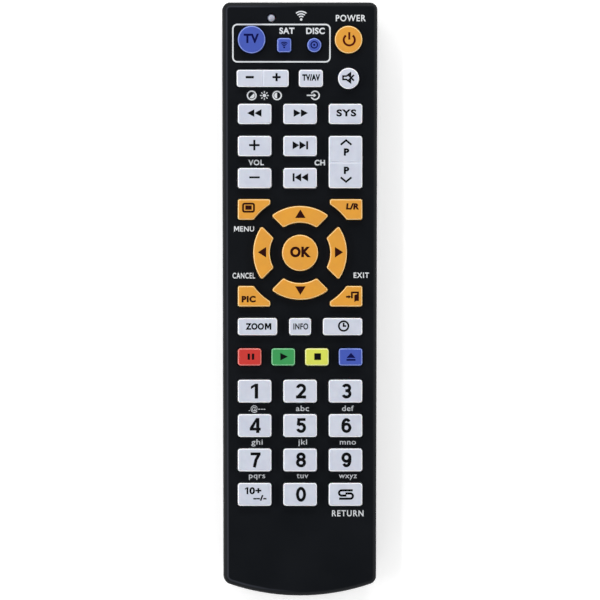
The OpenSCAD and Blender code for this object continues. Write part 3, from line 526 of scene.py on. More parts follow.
def add_piece(name: str, mesh: BMesh, body: str) -> Object:
    """Turns a finished bmesh into a piece that rides on a body.

    Args:
        name: Name of the piece.
        mesh: Its mesh, which is freed.
        body: Name of the body.

    Returns:
        The piece.
    """
    piece = add_object(name, mesh)
    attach(piece, body)
    LOG.info("%s rides on %s, %d faces", name, body, len(piece.data.polygons))
    return piece


def arc(centre: Point, radius: float, start: float, end: float, steps: int) -> list[Point]:
    """Gives points along an arc between two angles in degrees, both ends included."""
    angles = [math.radians(start + (end - start) * i / steps) for i in range(steps + 1)]
    return [(centre[0] + radius * math.cos(a), centre[1] + radius * math.sin(a)) for a in angles]


def circle(radius: float, steps: int = 32, height: float = 0.0) -> list[Point]:
    """Gives the points of a whole circle on the upright middle line, each once."""
    return arc((0.0, height), radius, 0, 360, steps)[:-1]


def rounded_box(size: Point, corner: float, steps: int = 6) -> list[Point]:
    """Gives the outline of a rectangle with round corners about the middle.

    Args:
        size: Width and height.
        corner: Radius of the corners.
        steps: Steps round each corner.

    Returns:
        The points, anticlockwise.
    """
    x, y = size[0] / 2 - corner, size[1] / 2 - corner
    corners = [(x, y), (-x, y), (-x, -y), (x, -y)]
    return [
        point
        for turn, centre in enumerate(corners)
        for point in arc(centre, corner, 90 * turn, 90 * turn + 90, steps)
    ]


def box_outline(low: Point, high: Point) -> list[Point]:
    """Gives the outline of a plain rectangle, anticlockwise."""
    return [low, (high[0], low[1]), high, (low[0], high[1])]


def opposite(points: Sequence[Point]) -> list[Point]:
    """Gives points turned half round the middle."""
    return [(-x, -y) for x, y in points]


class Symbol(Enum):
    """Signs that keys and faces carry."""

    PLUS = "plus"
    MINUS = "minus"
    PLAY = "play"
    FORWARD = "forward"
    NEXT = "next"
    PAUSE = "pause"
    STOP = "stop"
    EJECT = "eject"
    POWER = "power"
    MUTE = "mute"
    SCREEN = "screen"
    LEAVE = "leave"
    CLOCK = "clock"
    LOOP = "loop"
    CHEVRON = "chevron"
    COLOUR = "colour"
    BRIGHTNESS = "brightness"
    CONTRAST = "contrast"
    INPUT = "input"
    SIGNAL = "signal"
    DISC = "disc"
    FRAME = "frame"
    ZERO = "zero"
    ONE = "one"
    TWO = "two"
    THREE = "three"
    FOUR = "four"
    FIVE = "five"
    SIX = "six"
    SEVEN = "seven"
    EIGHT = "eight"
    LETTER_M = "letter_m"


@dataclass(frozen=True)
class Sign:
    """One sign in its place.

    Sizes are the sign's width and height before it is turned. Turn is in degrees, anticlockwise.
    """

    symbol: Symbol
    place: Point
    size: Point
    stroke: float = 0.55
    turn: float = 0.0


@dataclass(frozen=True)
class Words:
    """One word in its place, by the middle of its capitals.

    Weight is how much its strokes are thickened, as a share of the type size.
    """

    text: str
    place: Point
    capital: float
    width: float = 0.0
    weight: float = 0.035
    slant: float = 0.0
    spacing: float = 1.08


Mark = Sign | Words


def anticlockwise(loop: list[Point]) -> list[Point]:
    """Turns a closed outline so that it runs anticlockwise."""
    area = sum(a[0] * b[1] - b[0] * a[1] for a, b in zip(loop, loop[1:] + loop[:1]))
    return loop if area > 0 else loop[::-1]


# How far a band's corner may reach out: no further than half its width over this share
MITRE_SHARE = 0.3


def band_loops(line: Sequence[Point], width: float, closed: bool) -> list[list[Point]]:
    """Gives the outlines of a band of even width along a line.

    Args:
        line: Points along the middle of the band.
        width: Its width.
        closed: Whether its end joins its start.

    Returns:
        One outline, or the outer and the inner one of a closed band.
    """
    points = [Vector(p) for p in line]
    left, right = [], []
    for i, here in enumerate(points):
        steps = []
        if closed or i > 0:
            steps.append((here - points[i - 1]).normalized())
        if closed or i < len(points) - 1:
            steps.append((points[(i + 1) % len(points)] - here).normalized())
        along = sum(steps, Vector((0.0, 0.0))).normalized()
        across = Vector((-along.y, along.x))
        reach = width / 2 / max(MITRE_SHARE, along.dot(steps[-1]))
        left.append(tuple(here + across * reach))
        right.append(tuple(here - across * reach))
    return [right, left[::-1]] if closed else [right + left[::-1]]


def turns_round(spot: Vector, outline: Sequence[tuple[Vector, Vector]]) -> int:
    """Counts how often an outline runs round a point.

    Args:
        spot: The point.
        outline: The outline's edges, each from its start to its end.

    Returns:
        The count, with turns the other way taken off; 0 outside.
    """
    count = 0
    for start, end in outline:
        if (start.y <= spot.y) != (end.y <= spot.y):
            side = (end - start).cross(spot - start)
            if end.y > start.y and side > 0:
                count += 1
            elif end.y <= start.y and side < 0:
                count -= 1
    return count


@dataclass
class InkLayer:
    """A thin closed layer of ink on one flat surface, gathered from signs and words.

    It reaches its depth over the surface and as far under it. Points of an outline that lie closer than the
    weld are one, and each curve of the type has a number of steps.
    """

    surface: float
    centre: Point
    depth: float = 0.012
    weld: float = 0.001
    type_steps: int = 5
    mesh: BMesh = field(default_factory=bmesh.new)

    def _levels(self, points: Sequence[Point]) -> list[list[BMVert]]:
        """Adds an outline's vertices at the underside and at the top of the ink."""
        flat = [((x + self.centre[0]) * MM, (y + self.centre[1]) * MM) for x, y in points]
        heights = [(self.surface + rise) * MM for rise in (-self.depth, self.depth)]
        return [[self.mesh.verts.new((*spot, height)) for spot in flat] for height in heights]

    def lay(self, spots: Sequence[Point], edges: Sequence[Edge]) -> None:
        """Adds whatever an outline runs round as one closed layer, also where the outline overlaps itself.

        Args:
            spots: The outline's points.
            edges: For each edge, the places of its start and end in that list, anticlockwise round the ink.
        """
        outline = [(Vector(spots[a]), Vector(spots[b])) for a, b in edges]
        points, _, faces, _, _, _ = delaunay_2d_cdt([Vector(p) for p in spots], edges, [], 0, self.weld)
        low, high = self._levels([tuple(p) for p in points])
        walls: set[Edge] = set()
        for face in faces:
            middle = sum((points[i] for i in face), Vector((0.0, 0.0))) / len(face)
            if turns_round(middle, outline) <= 0:
                continue
            self.mesh.faces.new([high[i] for i in face])
            self.mesh.faces.new([low[i] for i in reversed(face)])
            for a, b in zip(face, face[1:] + face[:1]):
                if (b, a) in walls:
                    walls.remove((b, a))
                else:
                    walls.add((a, b))
        for a, b in sorted(walls):
            self.mesh.faces.new((low[a], low[b], high[b], high[a]))

    def write(self, words: Words) -> None:
        """Adds a word in Blender's own plain sans type.

        Args:
            words: The word and its place.
        """
        curve = bpy.data.curves.new("words", "FONT")
        curve.body = "H"
        curve.align_x = "CENTER"
        curve.offset = words.weight
        curve.space_character = words.spacing
        # Bare walls, without the type's own fill
        curve.fill_mode = "NONE"
        curve.extrude = 1.0
        curve.resolution_u = self.type_steps
        setter = bpy.data.objects.new("words", curve)
        capital = bpy.data.meshes.new_from_object(setter)
        foot = min(v.co.y for v in capital.vertices)
        scale = words.capital / (max(v.co.y for v in capital.vertices) - foot)
        curve.body = words.text
        curve.shear = words.slant
        letters = bpy.data.meshes.new_from_object(setter)
        low = min(v.co.x for v in letters.vertices)
        high = max(v.co.x for v in letters.vertices)
        stretch = words.width / (high - low) if words.width else scale
        spots = [
            (
                (v.co.x - (low + high) / 2) * stretch + words.place[0],
                (v.co.y - foot) * scale - words.capital / 2 + words.place[1],
            )
            for v in letters.vertices
        ]
        # The lower edges of the walls are the thickened outline
        edges = [
            (a, b)
            for ring in (list(wall.vertices) for wall in letters.polygons)
            for a, b in zip(ring, ring[1:] + ring[:1])
            if letters.vertices[a].co.z < 0 and letters.vertices[b].co.z < 0
        ]
        self.lay(spots, edges)
        bpy.data.objects.remove(setter)
        for used in (capital, letters):
            bpy.data.meshes.remove(used)
        bpy.data.curves.remove(curve)

    def draw(self, sign: Sign) -> None:
        """Adds a sign.

        Args:
            sign: The sign and its place.
        """
        width, height = sign.size
        fills, bands = SignShape(width / 2, height / 2, sign.stroke).outlines(sign.symbol)
        loops = [anticlockwise(outline) for outline in fills]
        for line, closed in bands:
            loops += band_loops(line, sign.stroke, closed)
        angle = math.radians(sign.turn)
        cos, sin = math.cos(angle), math.sin(angle)
        spots: list[Point] = []
        edges: list[Edge] = []
        for loop in loops:
            first, count = len(spots), len(loop)
            spots += [(x * cos - y * sin + sign.place[0], x * sin + y * cos + sign.place[1]) for x, y in loop]
            edges += [(first + i, first + (i + 1) % count) for i in range(count)]
        self.lay(spots, edges)

    def add(self, marks: Sequence[Mark]) -> "InkLayer":
        """Adds several marks.

        Args:
            marks: Signs and words.

        Returns:
            The layer itself.
        """
        for mark in marks:
            if isinstance(mark, Words):
                self.write(mark)
            else:
                self.draw(mark)
        return self

    def piece(self, name: str, body: str) -> Object:
        """Closes the layer and makes it a piece.

        Args:
            name: Name of the piece.
            body: Body that it rides on.

        Returns:
            The piece.
        """
        loose = [v for v in self.mesh.verts if not v.link_faces]
        bmesh.ops.delete(self.mesh, geom=loose, context="VERTS")
        bmesh.ops.recalc_face_normals(self.mesh, faces=self.mesh.faces)
        return add_piece(name, self.mesh, body)


Outlines = tuple[list[list[Point]], list[tuple[list[Point], bool]]]

# Half the gap between neighbouring triangles of a sign, in millimetres
SIGN_GAP = 0.03


class SignShape(NamedTuple):
    """Outlines of a sign about its own middle: its fills, and its bands with whether each is closed.

    x and y are half the sign's width and height, and s is the width of its lines.
    """

    x: float
    y: float
    s: float

    def outlines(self, symbol: Symbol) -> Outlines:
        """Gives the outlines of one sign."""
        return getattr(self, symbol.value)()

    def _line(self) -> Point:
        """Gives half the width and height of a line that follows the sign's edge."""
        return (self.x - self.s / 2, self.y - self.s / 2)

    def _triangle(self, left: float, right: float) -> list[Point]:
        """Gives a triangle that points to the right."""
        return [(left, -self.y), (right, 0.0), (left, self.y)]

    def _arrow(self, neck: float, tip: float, barb: float) -> list[Point]:
        """Gives an arrow that points to the right, with its tail at the sign's left edge."""
        x, s = self.x, self.s / 2
        return [(-x, -s), (neck, -s), (neck, -barb), (tip, 0.0), (neck, barb), (neck, s), (-x, s)]

    def _half_filled(self, start: float) -> Outlines:
        """Gives a ring with half its inside filled, anticlockwise from an angle in degrees."""
        radius = self.x - self.s / 2
        return [arc((0.0, 0.0), radius - self.s, start, start + 180, 16)], [(circle(radius), True)]

    def _oval(self, middle: float, reach: Point, start: float = 0.0, end: float = 360.0) -> list[Point]:
        """Gives part of an oval on the upright middle line, or each point once of a whole one."""
        points = [(x * reach[0], middle + y * reach[1]) for x, y in arc((0.0, 0.0), 1.0, start, end, 28)]
        return points[:-1] if end - start == 360.0 else points

    def plus(self) -> Outlines:
        """Two bars across each other, as one outline."""
        x, y, s = self.x, self.y, self.s / 2
        half = [(x, -s), (x, s), (s, s), (s, y), (-s, y), (-s, s)]
        return [half + opposite(half)], []

    def minus(self) -> Outlines:
        """One bar."""
        return [box_outline((-self.x, -self.s / 2), (self.x, self.s / 2))], []

    def play(self) -> Outlines:
        """One triangle."""
        return [self._triangle(-self.x, self.x)], []

    def forward(self) -> Outlines:
        """Two triangles in a row."""
        return [self._triangle(-self.x, -SIGN_GAP), self._triangle(SIGN_GAP, self.x)], []

    def next(self) -> Outlines:
        """Two triangles that run up against a bar."""
        x, y, s = self
        bar = x - s
        middle = (bar - x) / 2
        first = self._triangle(-x, middle - SIGN_GAP)
        second = self._triangle(middle + SIGN_GAP, bar - 2 * SIGN_GAP)
        return [first, second, box_outline((bar, -y), (x, y))], []

    def pause(self) -> Outlines:
        """Two upright bars."""
        x, y, _ = self
        width = x * 0.72
        return [box_outline((-x, -y), (-x + width, y)), box_outline((x - width, -y), (x, y))], []

    def stop(self) -> Outlines:
        """A filled square."""
        return [box_outline((-self.x, -self.y), (self.x, self.y))], []

    def eject(self) -> Outlines:
        """A triangle that points up, over a bar."""
        x, y, s = self
        bar = -y + s
        foot = bar + s * 0.6
        return [[(-x, foot), (x, foot), (0.0, y)], box_outline((-x, -y), (x, bar))], []

    def power(self) -> Outlines:
        """A ring that is open at the top, with an upright bar in the opening."""
        middle, half = -self.y + self.x, self.s / 2
        ring = arc((0.0, middle), self.x - half, 128, 412, 36)
        return [box_outline((-half, middle + 0.1), (half, self.y))], [(ring, False)]

    def mute(self) -> Outlines:
        """A loudspeaker in outline, crossed out at its mouth."""
        x, y, _ = self
        throat, mouth, back = -x * 0.4, x * 0.3, y * 0.36
        horn = [(-x, -back), (throat, -back), (mouth, -y), (mouth, y), (throat, back), (-x, back)]
        reach, centre = x * 0.5, x * 0.42
        slashes = [[(centre - reach, -rise), (centre + reach, rise)] for rise in (reach, -reach)]
        return [], [(horn, True), *((slash, False) for slash in slashes)]

    def screen(self) -> Outlines:
        """A round-cornered frame with a small filled panel in it."""
        x, y, s = self
        panel = box_outline((-x * 0.5, -y * 0.42), (x * 0.5, y * 0.46))
        return [panel], [(rounded_box((2 * x - s, 2 * y - s), 0.55), True)]

    def leave(self) -> Outlines:
        """An arrow that points to a doorway with its door ajar."""
        x, y, s = self.x, self.y, self.s / 2
        left, hinge = -x * 0.1, x * 0.42
        top, foot = y - s, -y * 0.62
        frame = [(left, -y * 0.3), (left, top), (x - s, top), (x - s, foot), (hinge, foot)]
        swung = hinge + x * 0.36
        leaf = [(hinge - s, -y), (swung, foot), (swung, y * 0.55), (hinge - s, y * 0.3)]
        return [self._arrow(-x * 0.62, -x * 0.2, y * 0.34), leaf], [(frame, False)]

    def clock(self) -> Outlines:
        """A ring with two hands."""
        hands = [(0.0, self.y * 0.58), (0.0, 0.0), (self.x * 0.46, 0.0)]
        return [], [(circle(self.x - self.s / 2), True), (hands, False)]

    def loop(self) -> Outlines:
        """Two hooks that reach into each other."""
        side, rise = self._line()
        radius = rise * 0.63
        bend = arc((radius - side, rise - radius), radius, 90, 270, 12)
        hook = [(self.x * 0.85, rise), *bend, (self.x * 0.06, rise - 2 * radius)]
        return [], [(hook, False), (opposite(hook), False)]

    def chevron(self) -> Outlines:
        """An open angle that points up."""
        rise = self.y - self.s / 2
        return [], [([(-self.x, -rise), (0.0, rise), (self.x, -rise)], False)]

    def colour(self) -> Outlines:
        """A ring whose lower half is cut off by a slanting line and filled."""
        return self._half_filled(225)

    def brightness(self) -> Outlines:
        """A disc with eight rays."""
        ends = zip(circle(self.x * 0.6, 8), circle(self.x, 8))
        return [circle(self.x * 0.4, 20)], [(list(ray), False) for ray in ends]

    def contrast(self) -> Outlines:
        """A ring with its left half filled."""
        return self._half_filled(90)

    def input(self) -> Outlines:
        """An arrow that runs into a ring."""
        x, y, s = self
        middle = x - y
        ring = arc((middle, 0.0), y - s / 2, -152, 152, 26)
        return [self._arrow(middle - y * 0.3, middle + y * 0.25, y * 0.42)], [(ring, False)]

    def signal(self) -> Outlines:
        """Three arcs that spread from a dot."""
        foot, reach = -self.y + self.s, 2 * (self.y - self.s)
        arcs = [(arc((0.0, foot), reach * share, 50, 130, 12), False) for share in (0.4, 0.7, 1.0)]
        return [circle(self.s, 16, foot)], arcs

    def disc(self) -> Outlines:
        """A ring round a dot."""
        return [circle(self.x * 0.28, 16)], [(circle(self.x - self.s / 2), True)]

    def frame(self) -> Outlines:
        """A thin line round a group of keys."""
        return [], [(rounded_box((2 * self.x, 2 * self.y), 1.5), True)]

    def zero(self) -> Outlines:
        """The figure 0."""
        return [], [(self._oval(0.0, self._line()), True)]

    def one(self) -> Outlines:
        """The figure 1 with its flag."""
        x, y, s = self
        left, flag = x - s, y * 0.52
        stem = [(left, -y), (x, -y), (x, y), (left + s * 0.2, y)]
        return [[*stem, (-x, flag + s * 0.25), (-x, flag - s * 0.6), (left, flag + s * 0.15)]], []

    def two(self) -> Outlines:
        """The figure 2."""
        x, y = self._line()
        bow = self._oval(y * 0.42, (x, y * 0.58), 168, -32)
        foot = box_outline((-self.x, -self.y), (self.x, self.s - self.y))
        return [foot], [([*bow, (-x * 0.86, -y)], False)]

    def three(self) -> Outlines:
        """The figure 3."""
        x, y = self._line()
        waist = (-x * 0.3, y * 0.06)
        upper = [*self._oval(y * 0.53, (x * 0.92, y * 0.47), 160, -90), waist]
        lower = [waist, *self._oval(-y * 0.47, (x, y * 0.53), 90, -160)]
        return [], [(upper, False), (lower, False)]

    def four(self) -> Outlines:
        """The figure 4."""
        x, y, s = self
        stem, bar = x * 0.76 - s, -y * 0.3
        foot = bar - s * 0.85
        slope = [(-x, bar), (-x + s * 1.15, bar), (stem, y * 0.42), (stem, y)]
        bars = [box_outline((-x, foot), (stem, bar)), box_outline((stem + s, foot), (x, bar))]
        return [box_outline((stem, -y), (stem + s, y)), *bars, slope], []

    def five(self) -> Outlines:
        """The figure 5."""
        x, y = self._line()
        bowl = self._oval(-y * 0.37, (x, y * 0.63), 142, -160)
        stem = [(-x * 0.62, y), bowl[0]]
        bar = box_outline((-x * 0.62 - self.s / 2, self.y - self.s * 0.95), (self.x * 0.9, self.y))
        return [bar], [(stem, False), (bowl, False)]

    def six(self) -> Outlines:
        """The figure 6, or turned the figure 9."""
        x, y = self._line()
        return [], [(self._oval(0.0, (x, y), 40, 205), False), (self._oval(-y * 0.38, (x, y * 0.62)), True)]

    def seven(self) -> Outlines:
        """The figure 7."""
        x, y = self._line()
        bar = box_outline((-self.x, self.y - self.s * 0.95), (self.x, self.y))
        return [bar], [([(x * 0.96, y * 0.92), (x * 0.12, 0.0), (-x * 0.36, -self.y)], False)]

    def eight(self) -> Outlines:
        """The figure 8."""
        x, y = self._line()
        upper, lower = self._oval(y * 0.53, (x * 0.88, y * 0.47)), self._oval(-y * 0.47, (x, y * 0.53))
        return [], [(upper, True), (lower, True)]

    def letter_m(self) -> Outlines:
        """The letter M, with its notch kept open."""
        x, y, s = self
        notch = -y * 0.35
        dip = notch - s * 0.55
        right = [(x - s * 1.25, y), (x, y), (x, -y), (x - s, -y), (x - s, y - s * 1.7)]
        left = [(-a, b) for a, b in reversed(right)]
        return [[*right, (0.3 * s, dip), (-0.3 * s, dip), *left, (0.0, notch + s * 0.75)]], []


# Digits that fill the same box; 1 and 4 have boxes of their own, and 9 is 6 turned round
ROUND_DIGITS: dict[int, Symbol] = {
    0: Symbol.ZERO, 2: Symbol.TWO, 3: Symbol.THREE, 5: Symbol.FIVE, 6: Symbol.SIX, 7: Symbol.SEVEN,
    8: Symbol.EIGHT, 9: Symbol.SIX,
}

# What each key carries, from the middle of the key, and for the four ring keys from the middle of the ring
KEY_LEGENDS: dict[str, tuple[Mark, ...]] = {
    "tv_key": (Words("TV", (-0.1, 0.4), 3.2, 5.2, 0.04),),
    "satellite_key": (Sign(Symbol.SIGNAL, (0.0, 0.1), (2.4, 2.4), 0.32),),
    "player_key": (Sign(Symbol.DISC, (0.0, 0.1), (2.6, 2.6), 0.4),),
    "power_key": (Sign(Symbol.POWER, (0.25, 0.1), (4.5, 4.9), 0.7),),
    "picture_rocker": (
        Sign(Symbol.MINUS, (-4.45, 0.4), (2.8, 0.8), 0.8),
        Sign(Symbol.PLUS, (4.75, 0.4), (2.8, 2.8), 0.72),
    ),
    "input_key": (Words("TV/AV", (0.1, 0.3), 2.2, 6.1, 0.055),),
    "mute_key": (Sign(Symbol.MUTE, (0.05, 0.2), (3.9, 3.2), 0.56),),
    "rewind_key": (Sign(Symbol.FORWARD, (-0.1, 0.3), (4.9, 2.6), turn=180),),
    "fast_forward_key": (Sign(Symbol.FORWARD, (0.25, 0.3), (4.9, 2.6)),),
    "system_key": (Words("SYS", (0.3, 0.35), 2.4, 6.8, 0.04, spacing=1.15),),
    "volume_up_key": (Sign(Symbol.PLUS, (-0.1, 0.3), (3.6, 3.6), 0.7),),
    "volume_down_key": (Sign(Symbol.MINUS, (-0.05, 0.25), (3.6, 0.64), 0.64),),
    "next_key": (Sign(Symbol.NEXT, (0.1, 0.25), (5.3, 2.8), 0.65),),
    "previous_key": (Sign(Symbol.NEXT, (0.1, 0.25), (5.3, 2.8), 0.65, 180),),
    "channel_rocker": (
        Sign(Symbol.CHEVRON, (0.2, 6.7), (3.7, 2.2), 0.65),
        Words("P", (0.35, 3.45), 2.5, 1.85, 0.055),
        Words("P", (0.35, -2.85), 2.5, 1.85, 0.055),
        Sign(Symbol.CHEVRON, (0.2, -6.0), (3.7, 2.2), 0.65, 180),
    ),
    "menu_key": (Sign(Symbol.SCREEN, (-1.9, 0.6), (4.4, 3.4), 0.65),),
    "audio_key": (Words("L/R", (2.2, 1.05), 2.15, 4.5, 0.06, 0.1),),
    "picture_mode_key": (Words("PIC", (-1.85, -1.0), 2.2, 4.8, 0.06, spacing=1.15),),
    "exit_key": (Sign(Symbol.LEAVE, (2.2, -0.2), (4.4, 3.6), 0.6),),
    "up_key": (Sign(Symbol.PLAY, (0.1, 13.4), (2.9, 3.6), turn=90),),
    "left_key": (Sign(Symbol.PLAY, (-13.05, 0.2), (2.8, 3.6), turn=180),),
    "down_key": (Sign(Symbol.PLAY, (0.1, -12.95), (2.9, 3.6), turn=270),),
    "right_key": (Sign(Symbol.PLAY, (13.35, 0.2), (2.8, 3.6)),),
    "ok_key": (Words("OK", (0.15, 0.3), 3.6, 7.1, 0.055),),
    "zoom_key": (
        Words("ZOO", (-0.95, 0.05), 2.25, 6.3, 0.05),
        Sign(Symbol.LETTER_M, (3.6, 0.05), (2.25, 2.25), 0.58),
    ),
    "information_key": (Words("INFO", (0.25, 0.05), 2.1, 5.1, 0.03),),
    "clock_key": (Sign(Symbol.CLOCK, (0.35, 0.2), (3.9, 3.9), 0.6),),
    "red_key": (Sign(Symbol.PAUSE, (0.45, 0.1), (2.3, 2.1)),),
    "green_key": (Sign(Symbol.PLAY, (0.3, 0.1), (2.6, 2.6)),),
    "yellow_key": (Sign(Symbol.STOP, (0.25, 0.1), (2.3, 2.3)),),
    "blue_key": (Sign(Symbol.EJECT, (0.15, 0.05), (3.1, 2.7), 0.6),),
    "digit_1_key": (Sign(Symbol.ONE, (-0.05, 0.02), (2.5, 5.1), 1.18),),
    "digit_4_key": (Sign(Symbol.FOUR, (0.2, 0.02), (3.75, 5.1), 1.12),),
    **{
        f"digit_{n}_key": (Sign(symbol, (0.32, 0.02), (3.45, 5.1), 1.04, 180 if n == 9 else 0),)
        for n, symbol in ROUND_DIGITS.items()
    },
    "ten_plus_key": (
        Sign(Symbol.ONE, (-2.75, 1.25), (1.15, 2.4), 0.58),
        Words("0+", (0.25, 1.25), 2.4, 4.1, 0.045),
        Words("--/-", (1.8, -1.2), 1.9, 4.5, 0.05),
    ),
    "return_key": (Sign(Symbol.LOOP, (0.15, -0.05), (5.5, 3.6), 0.74),),
}

# Letters under the digit keys 1 to 9, each with its width
LETTERS: tuple[tuple[str, float], ...] = (
    (".@---", 5.7), ("abc", 4.5), ("def", 4.0), ("ghi", 3.9), ("jkl", 3.1), ("mno", 5.5), ("pqrs", 5.6),
    ("tuv", 4.0), ("wxyz", 6.2),
)

# What is printed on the face beside a key, from the middle of that key
FACE_LEGENDS: dict[str, tuple[Mark, ...]] = {
    "tv_key": (Sign(Symbol.FRAME, (10.25, -1.2), (33.3, 12.8), 0.5),),
    "satellite_key": (Words("SAT", (0.95, 4.95), 2.15, 5.2),),
    "player_key": (Words("DISC", (0.45, 4.9), 2.15, 6.4),),
    "power_key": (Words("POWER", (0.8, 7.4), 2.2, 10.3, 0.02, spacing=1.15),),
    "indicator_lamp": (Sign(Symbol.SIGNAL, (10.2, 0.9), (3.6, 3.6), 0.42),),
    "picture_rocker": (
        Sign(Symbol.COLOUR, (-3.75, -5.85), (3.4, 3.4), 0.45),
        Sign(Symbol.BRIGHTNESS, (0.6, -5.85), (3.0, 3.0), 0.32),
        Sign(Symbol.CONTRAST, (4.95, -5.85), (3.3, 3.3), 0.45),
    ),
    "input_key": (Sign(Symbol.INPUT, (0.85, -5.8), (4.5, 3.3), 0.45),),
    "volume_up_key": (Words("VOL", (0.5, -5.65), 1.9, 5.3, spacing=1.15),),
    "channel_rocker": (Words("CH", (-8.8, -0.2), 1.9, 3.6),),
    "menu_key": (
        Sign(Symbol.LETTER_M, (-5.95, -6.65), (1.8, 1.8), 0.37),
        Words("ENU", (-2.35, -6.65), 1.8, 4.8, 0.02),
    ),
    "picture_mode_key": (Words("CANCEL", (-3.5, 7.05), 1.95, 7.7, 0.022, spacing=1.15),),
    "exit_key": (Words("EXIT", (5.25, 7.2), 1.85, 5.3, 0.022, spacing=1.2),),
    **{
        f"digit_{n}_key": (Words(letters, (0.85, -5.9 + (n - 1) // 3 * 0.28), 1.85, width, 0.008),)
        for n, (letters, width) in enumerate(LETTERS, 1)
    },
    "return_key": (Words("RETURN", (0.8, -6.5), 2.1, 10.8, 0.018, spacing=1.2),),
}

# Inks of single keys and of colours of key, where they are not the dark one
KEY_INKS: dict[str, Ink] = {"power_key": Ink.MAROON, "blue_keys": Ink.NAVY, "orange_keys": Ink.BROWN}


@dataclass
class Part:
    """What the sub-assemblies share: the frame, the finishes and each node's slot."""

    nodes: dict[str, Object]
    slots: dict[str, str]
    palette: Palette

    def middle(self, node: str) -> Point:
        """Gives the middle of a node in plan, in millimetres."""
        low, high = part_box(node)
        return ((low.x + high.x) / 2 / MM, (low.y + high.y) / 2 / MM)

    def top(self, node: str) -> float:
        """Gives the height of a node's top, in millimetres."""
        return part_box(node)[1].z / MM

    def dress(self, names: Sequence[str], rounding: float, finish: Finish | None = None) -> None:
        """Gives CAD nodes their own slots' finishes and rounded edges.

        Args:
            names: The nodes.
            rounding: Width of the rounding of their edges.
            finish: A finish in place of their slots' own.
        """
        for name in names:
            self.palette.dress(self.nodes[name], finish or FINISHES[self.slots[name]])
            soften(self.nodes[name], rounding)
        LOG.info("dressed %s", ", ".join(names))


@dataclass
class Case:
    """The two covers, the infrared window, the indicator lamp, the screws and the print on the face."""

    part: Part
    cover_rounding: float = 0.12
    trim_rounding: float = 0.08
    covers: tuple[str, ...] = ("front_cover", "rear_cover")
    trim: tuple[str, ...] = ("infrared_window", "indicator_lamp", "case_screws")

    def build(self) -> None:
        """Prints the face: one piece of ink for what belongs to each key."""
        surface = self.part.top("front_cover")
        for anchor, marks in FACE_LEGENDS.items():
            layer = InkLayer(surface, self.part.middle(anchor)).add(marks)
            print_piece = layer.piece(f"face_print_by_{anchor}", "case")
            self.part.palette.dress(print_piece, Ink.WHITE.value)

    def dress(self) -> None:
        """Gives the covers and trim their finishes."""
        self.part.dress(self.covers, self.cover_rounding)
        self.part.dress(self.trim, self.trim_rounding)


@dataclass
class Keypad:
    """The 43 keys with their printed legends."""

    part: Part
    rounding: float = 0.06
    ring: tuple[str, ...] = ("up_key", "left_key", "down_key", "right_key")

    def build(self) -> None:
        """Prints each key."""
        for key, marks in KEY_LEGENDS.items():
            centre = self.part.middle("ok_key" if key in self.ring else key)
            layer = InkLayer(self.part.top(key), centre).add(marks)
            legend = layer.piece(f"print_on_{key}", key)
            colour = KEY_INKS.get(key) or KEY_INKS.get(self.part.slots[key], Ink.DARK)
            self.part.palette.dress(legend, colour.value)

    def dress(self) -> None:
        """Gives each key the finish of its colour."""
        self.part.dress(tuple(KEY_LEGENDS), self.rounding)


@dataclass
class Electronics:
    """The keypad mat, the circuit board and the parts that are soldered to it."""

    part: Part
    rounding: float = 0.05
    names: tuple[str, ...] = (
        "keypad_mat", "circuit_board", "infrared_emitter", "infrared_receiver", "control_chip", "resonator",
        "capacitor",
    )

    def dress(self) -> None:
        """Gives each part its finish."""
        self.part.dress(self.names, self.rounding)


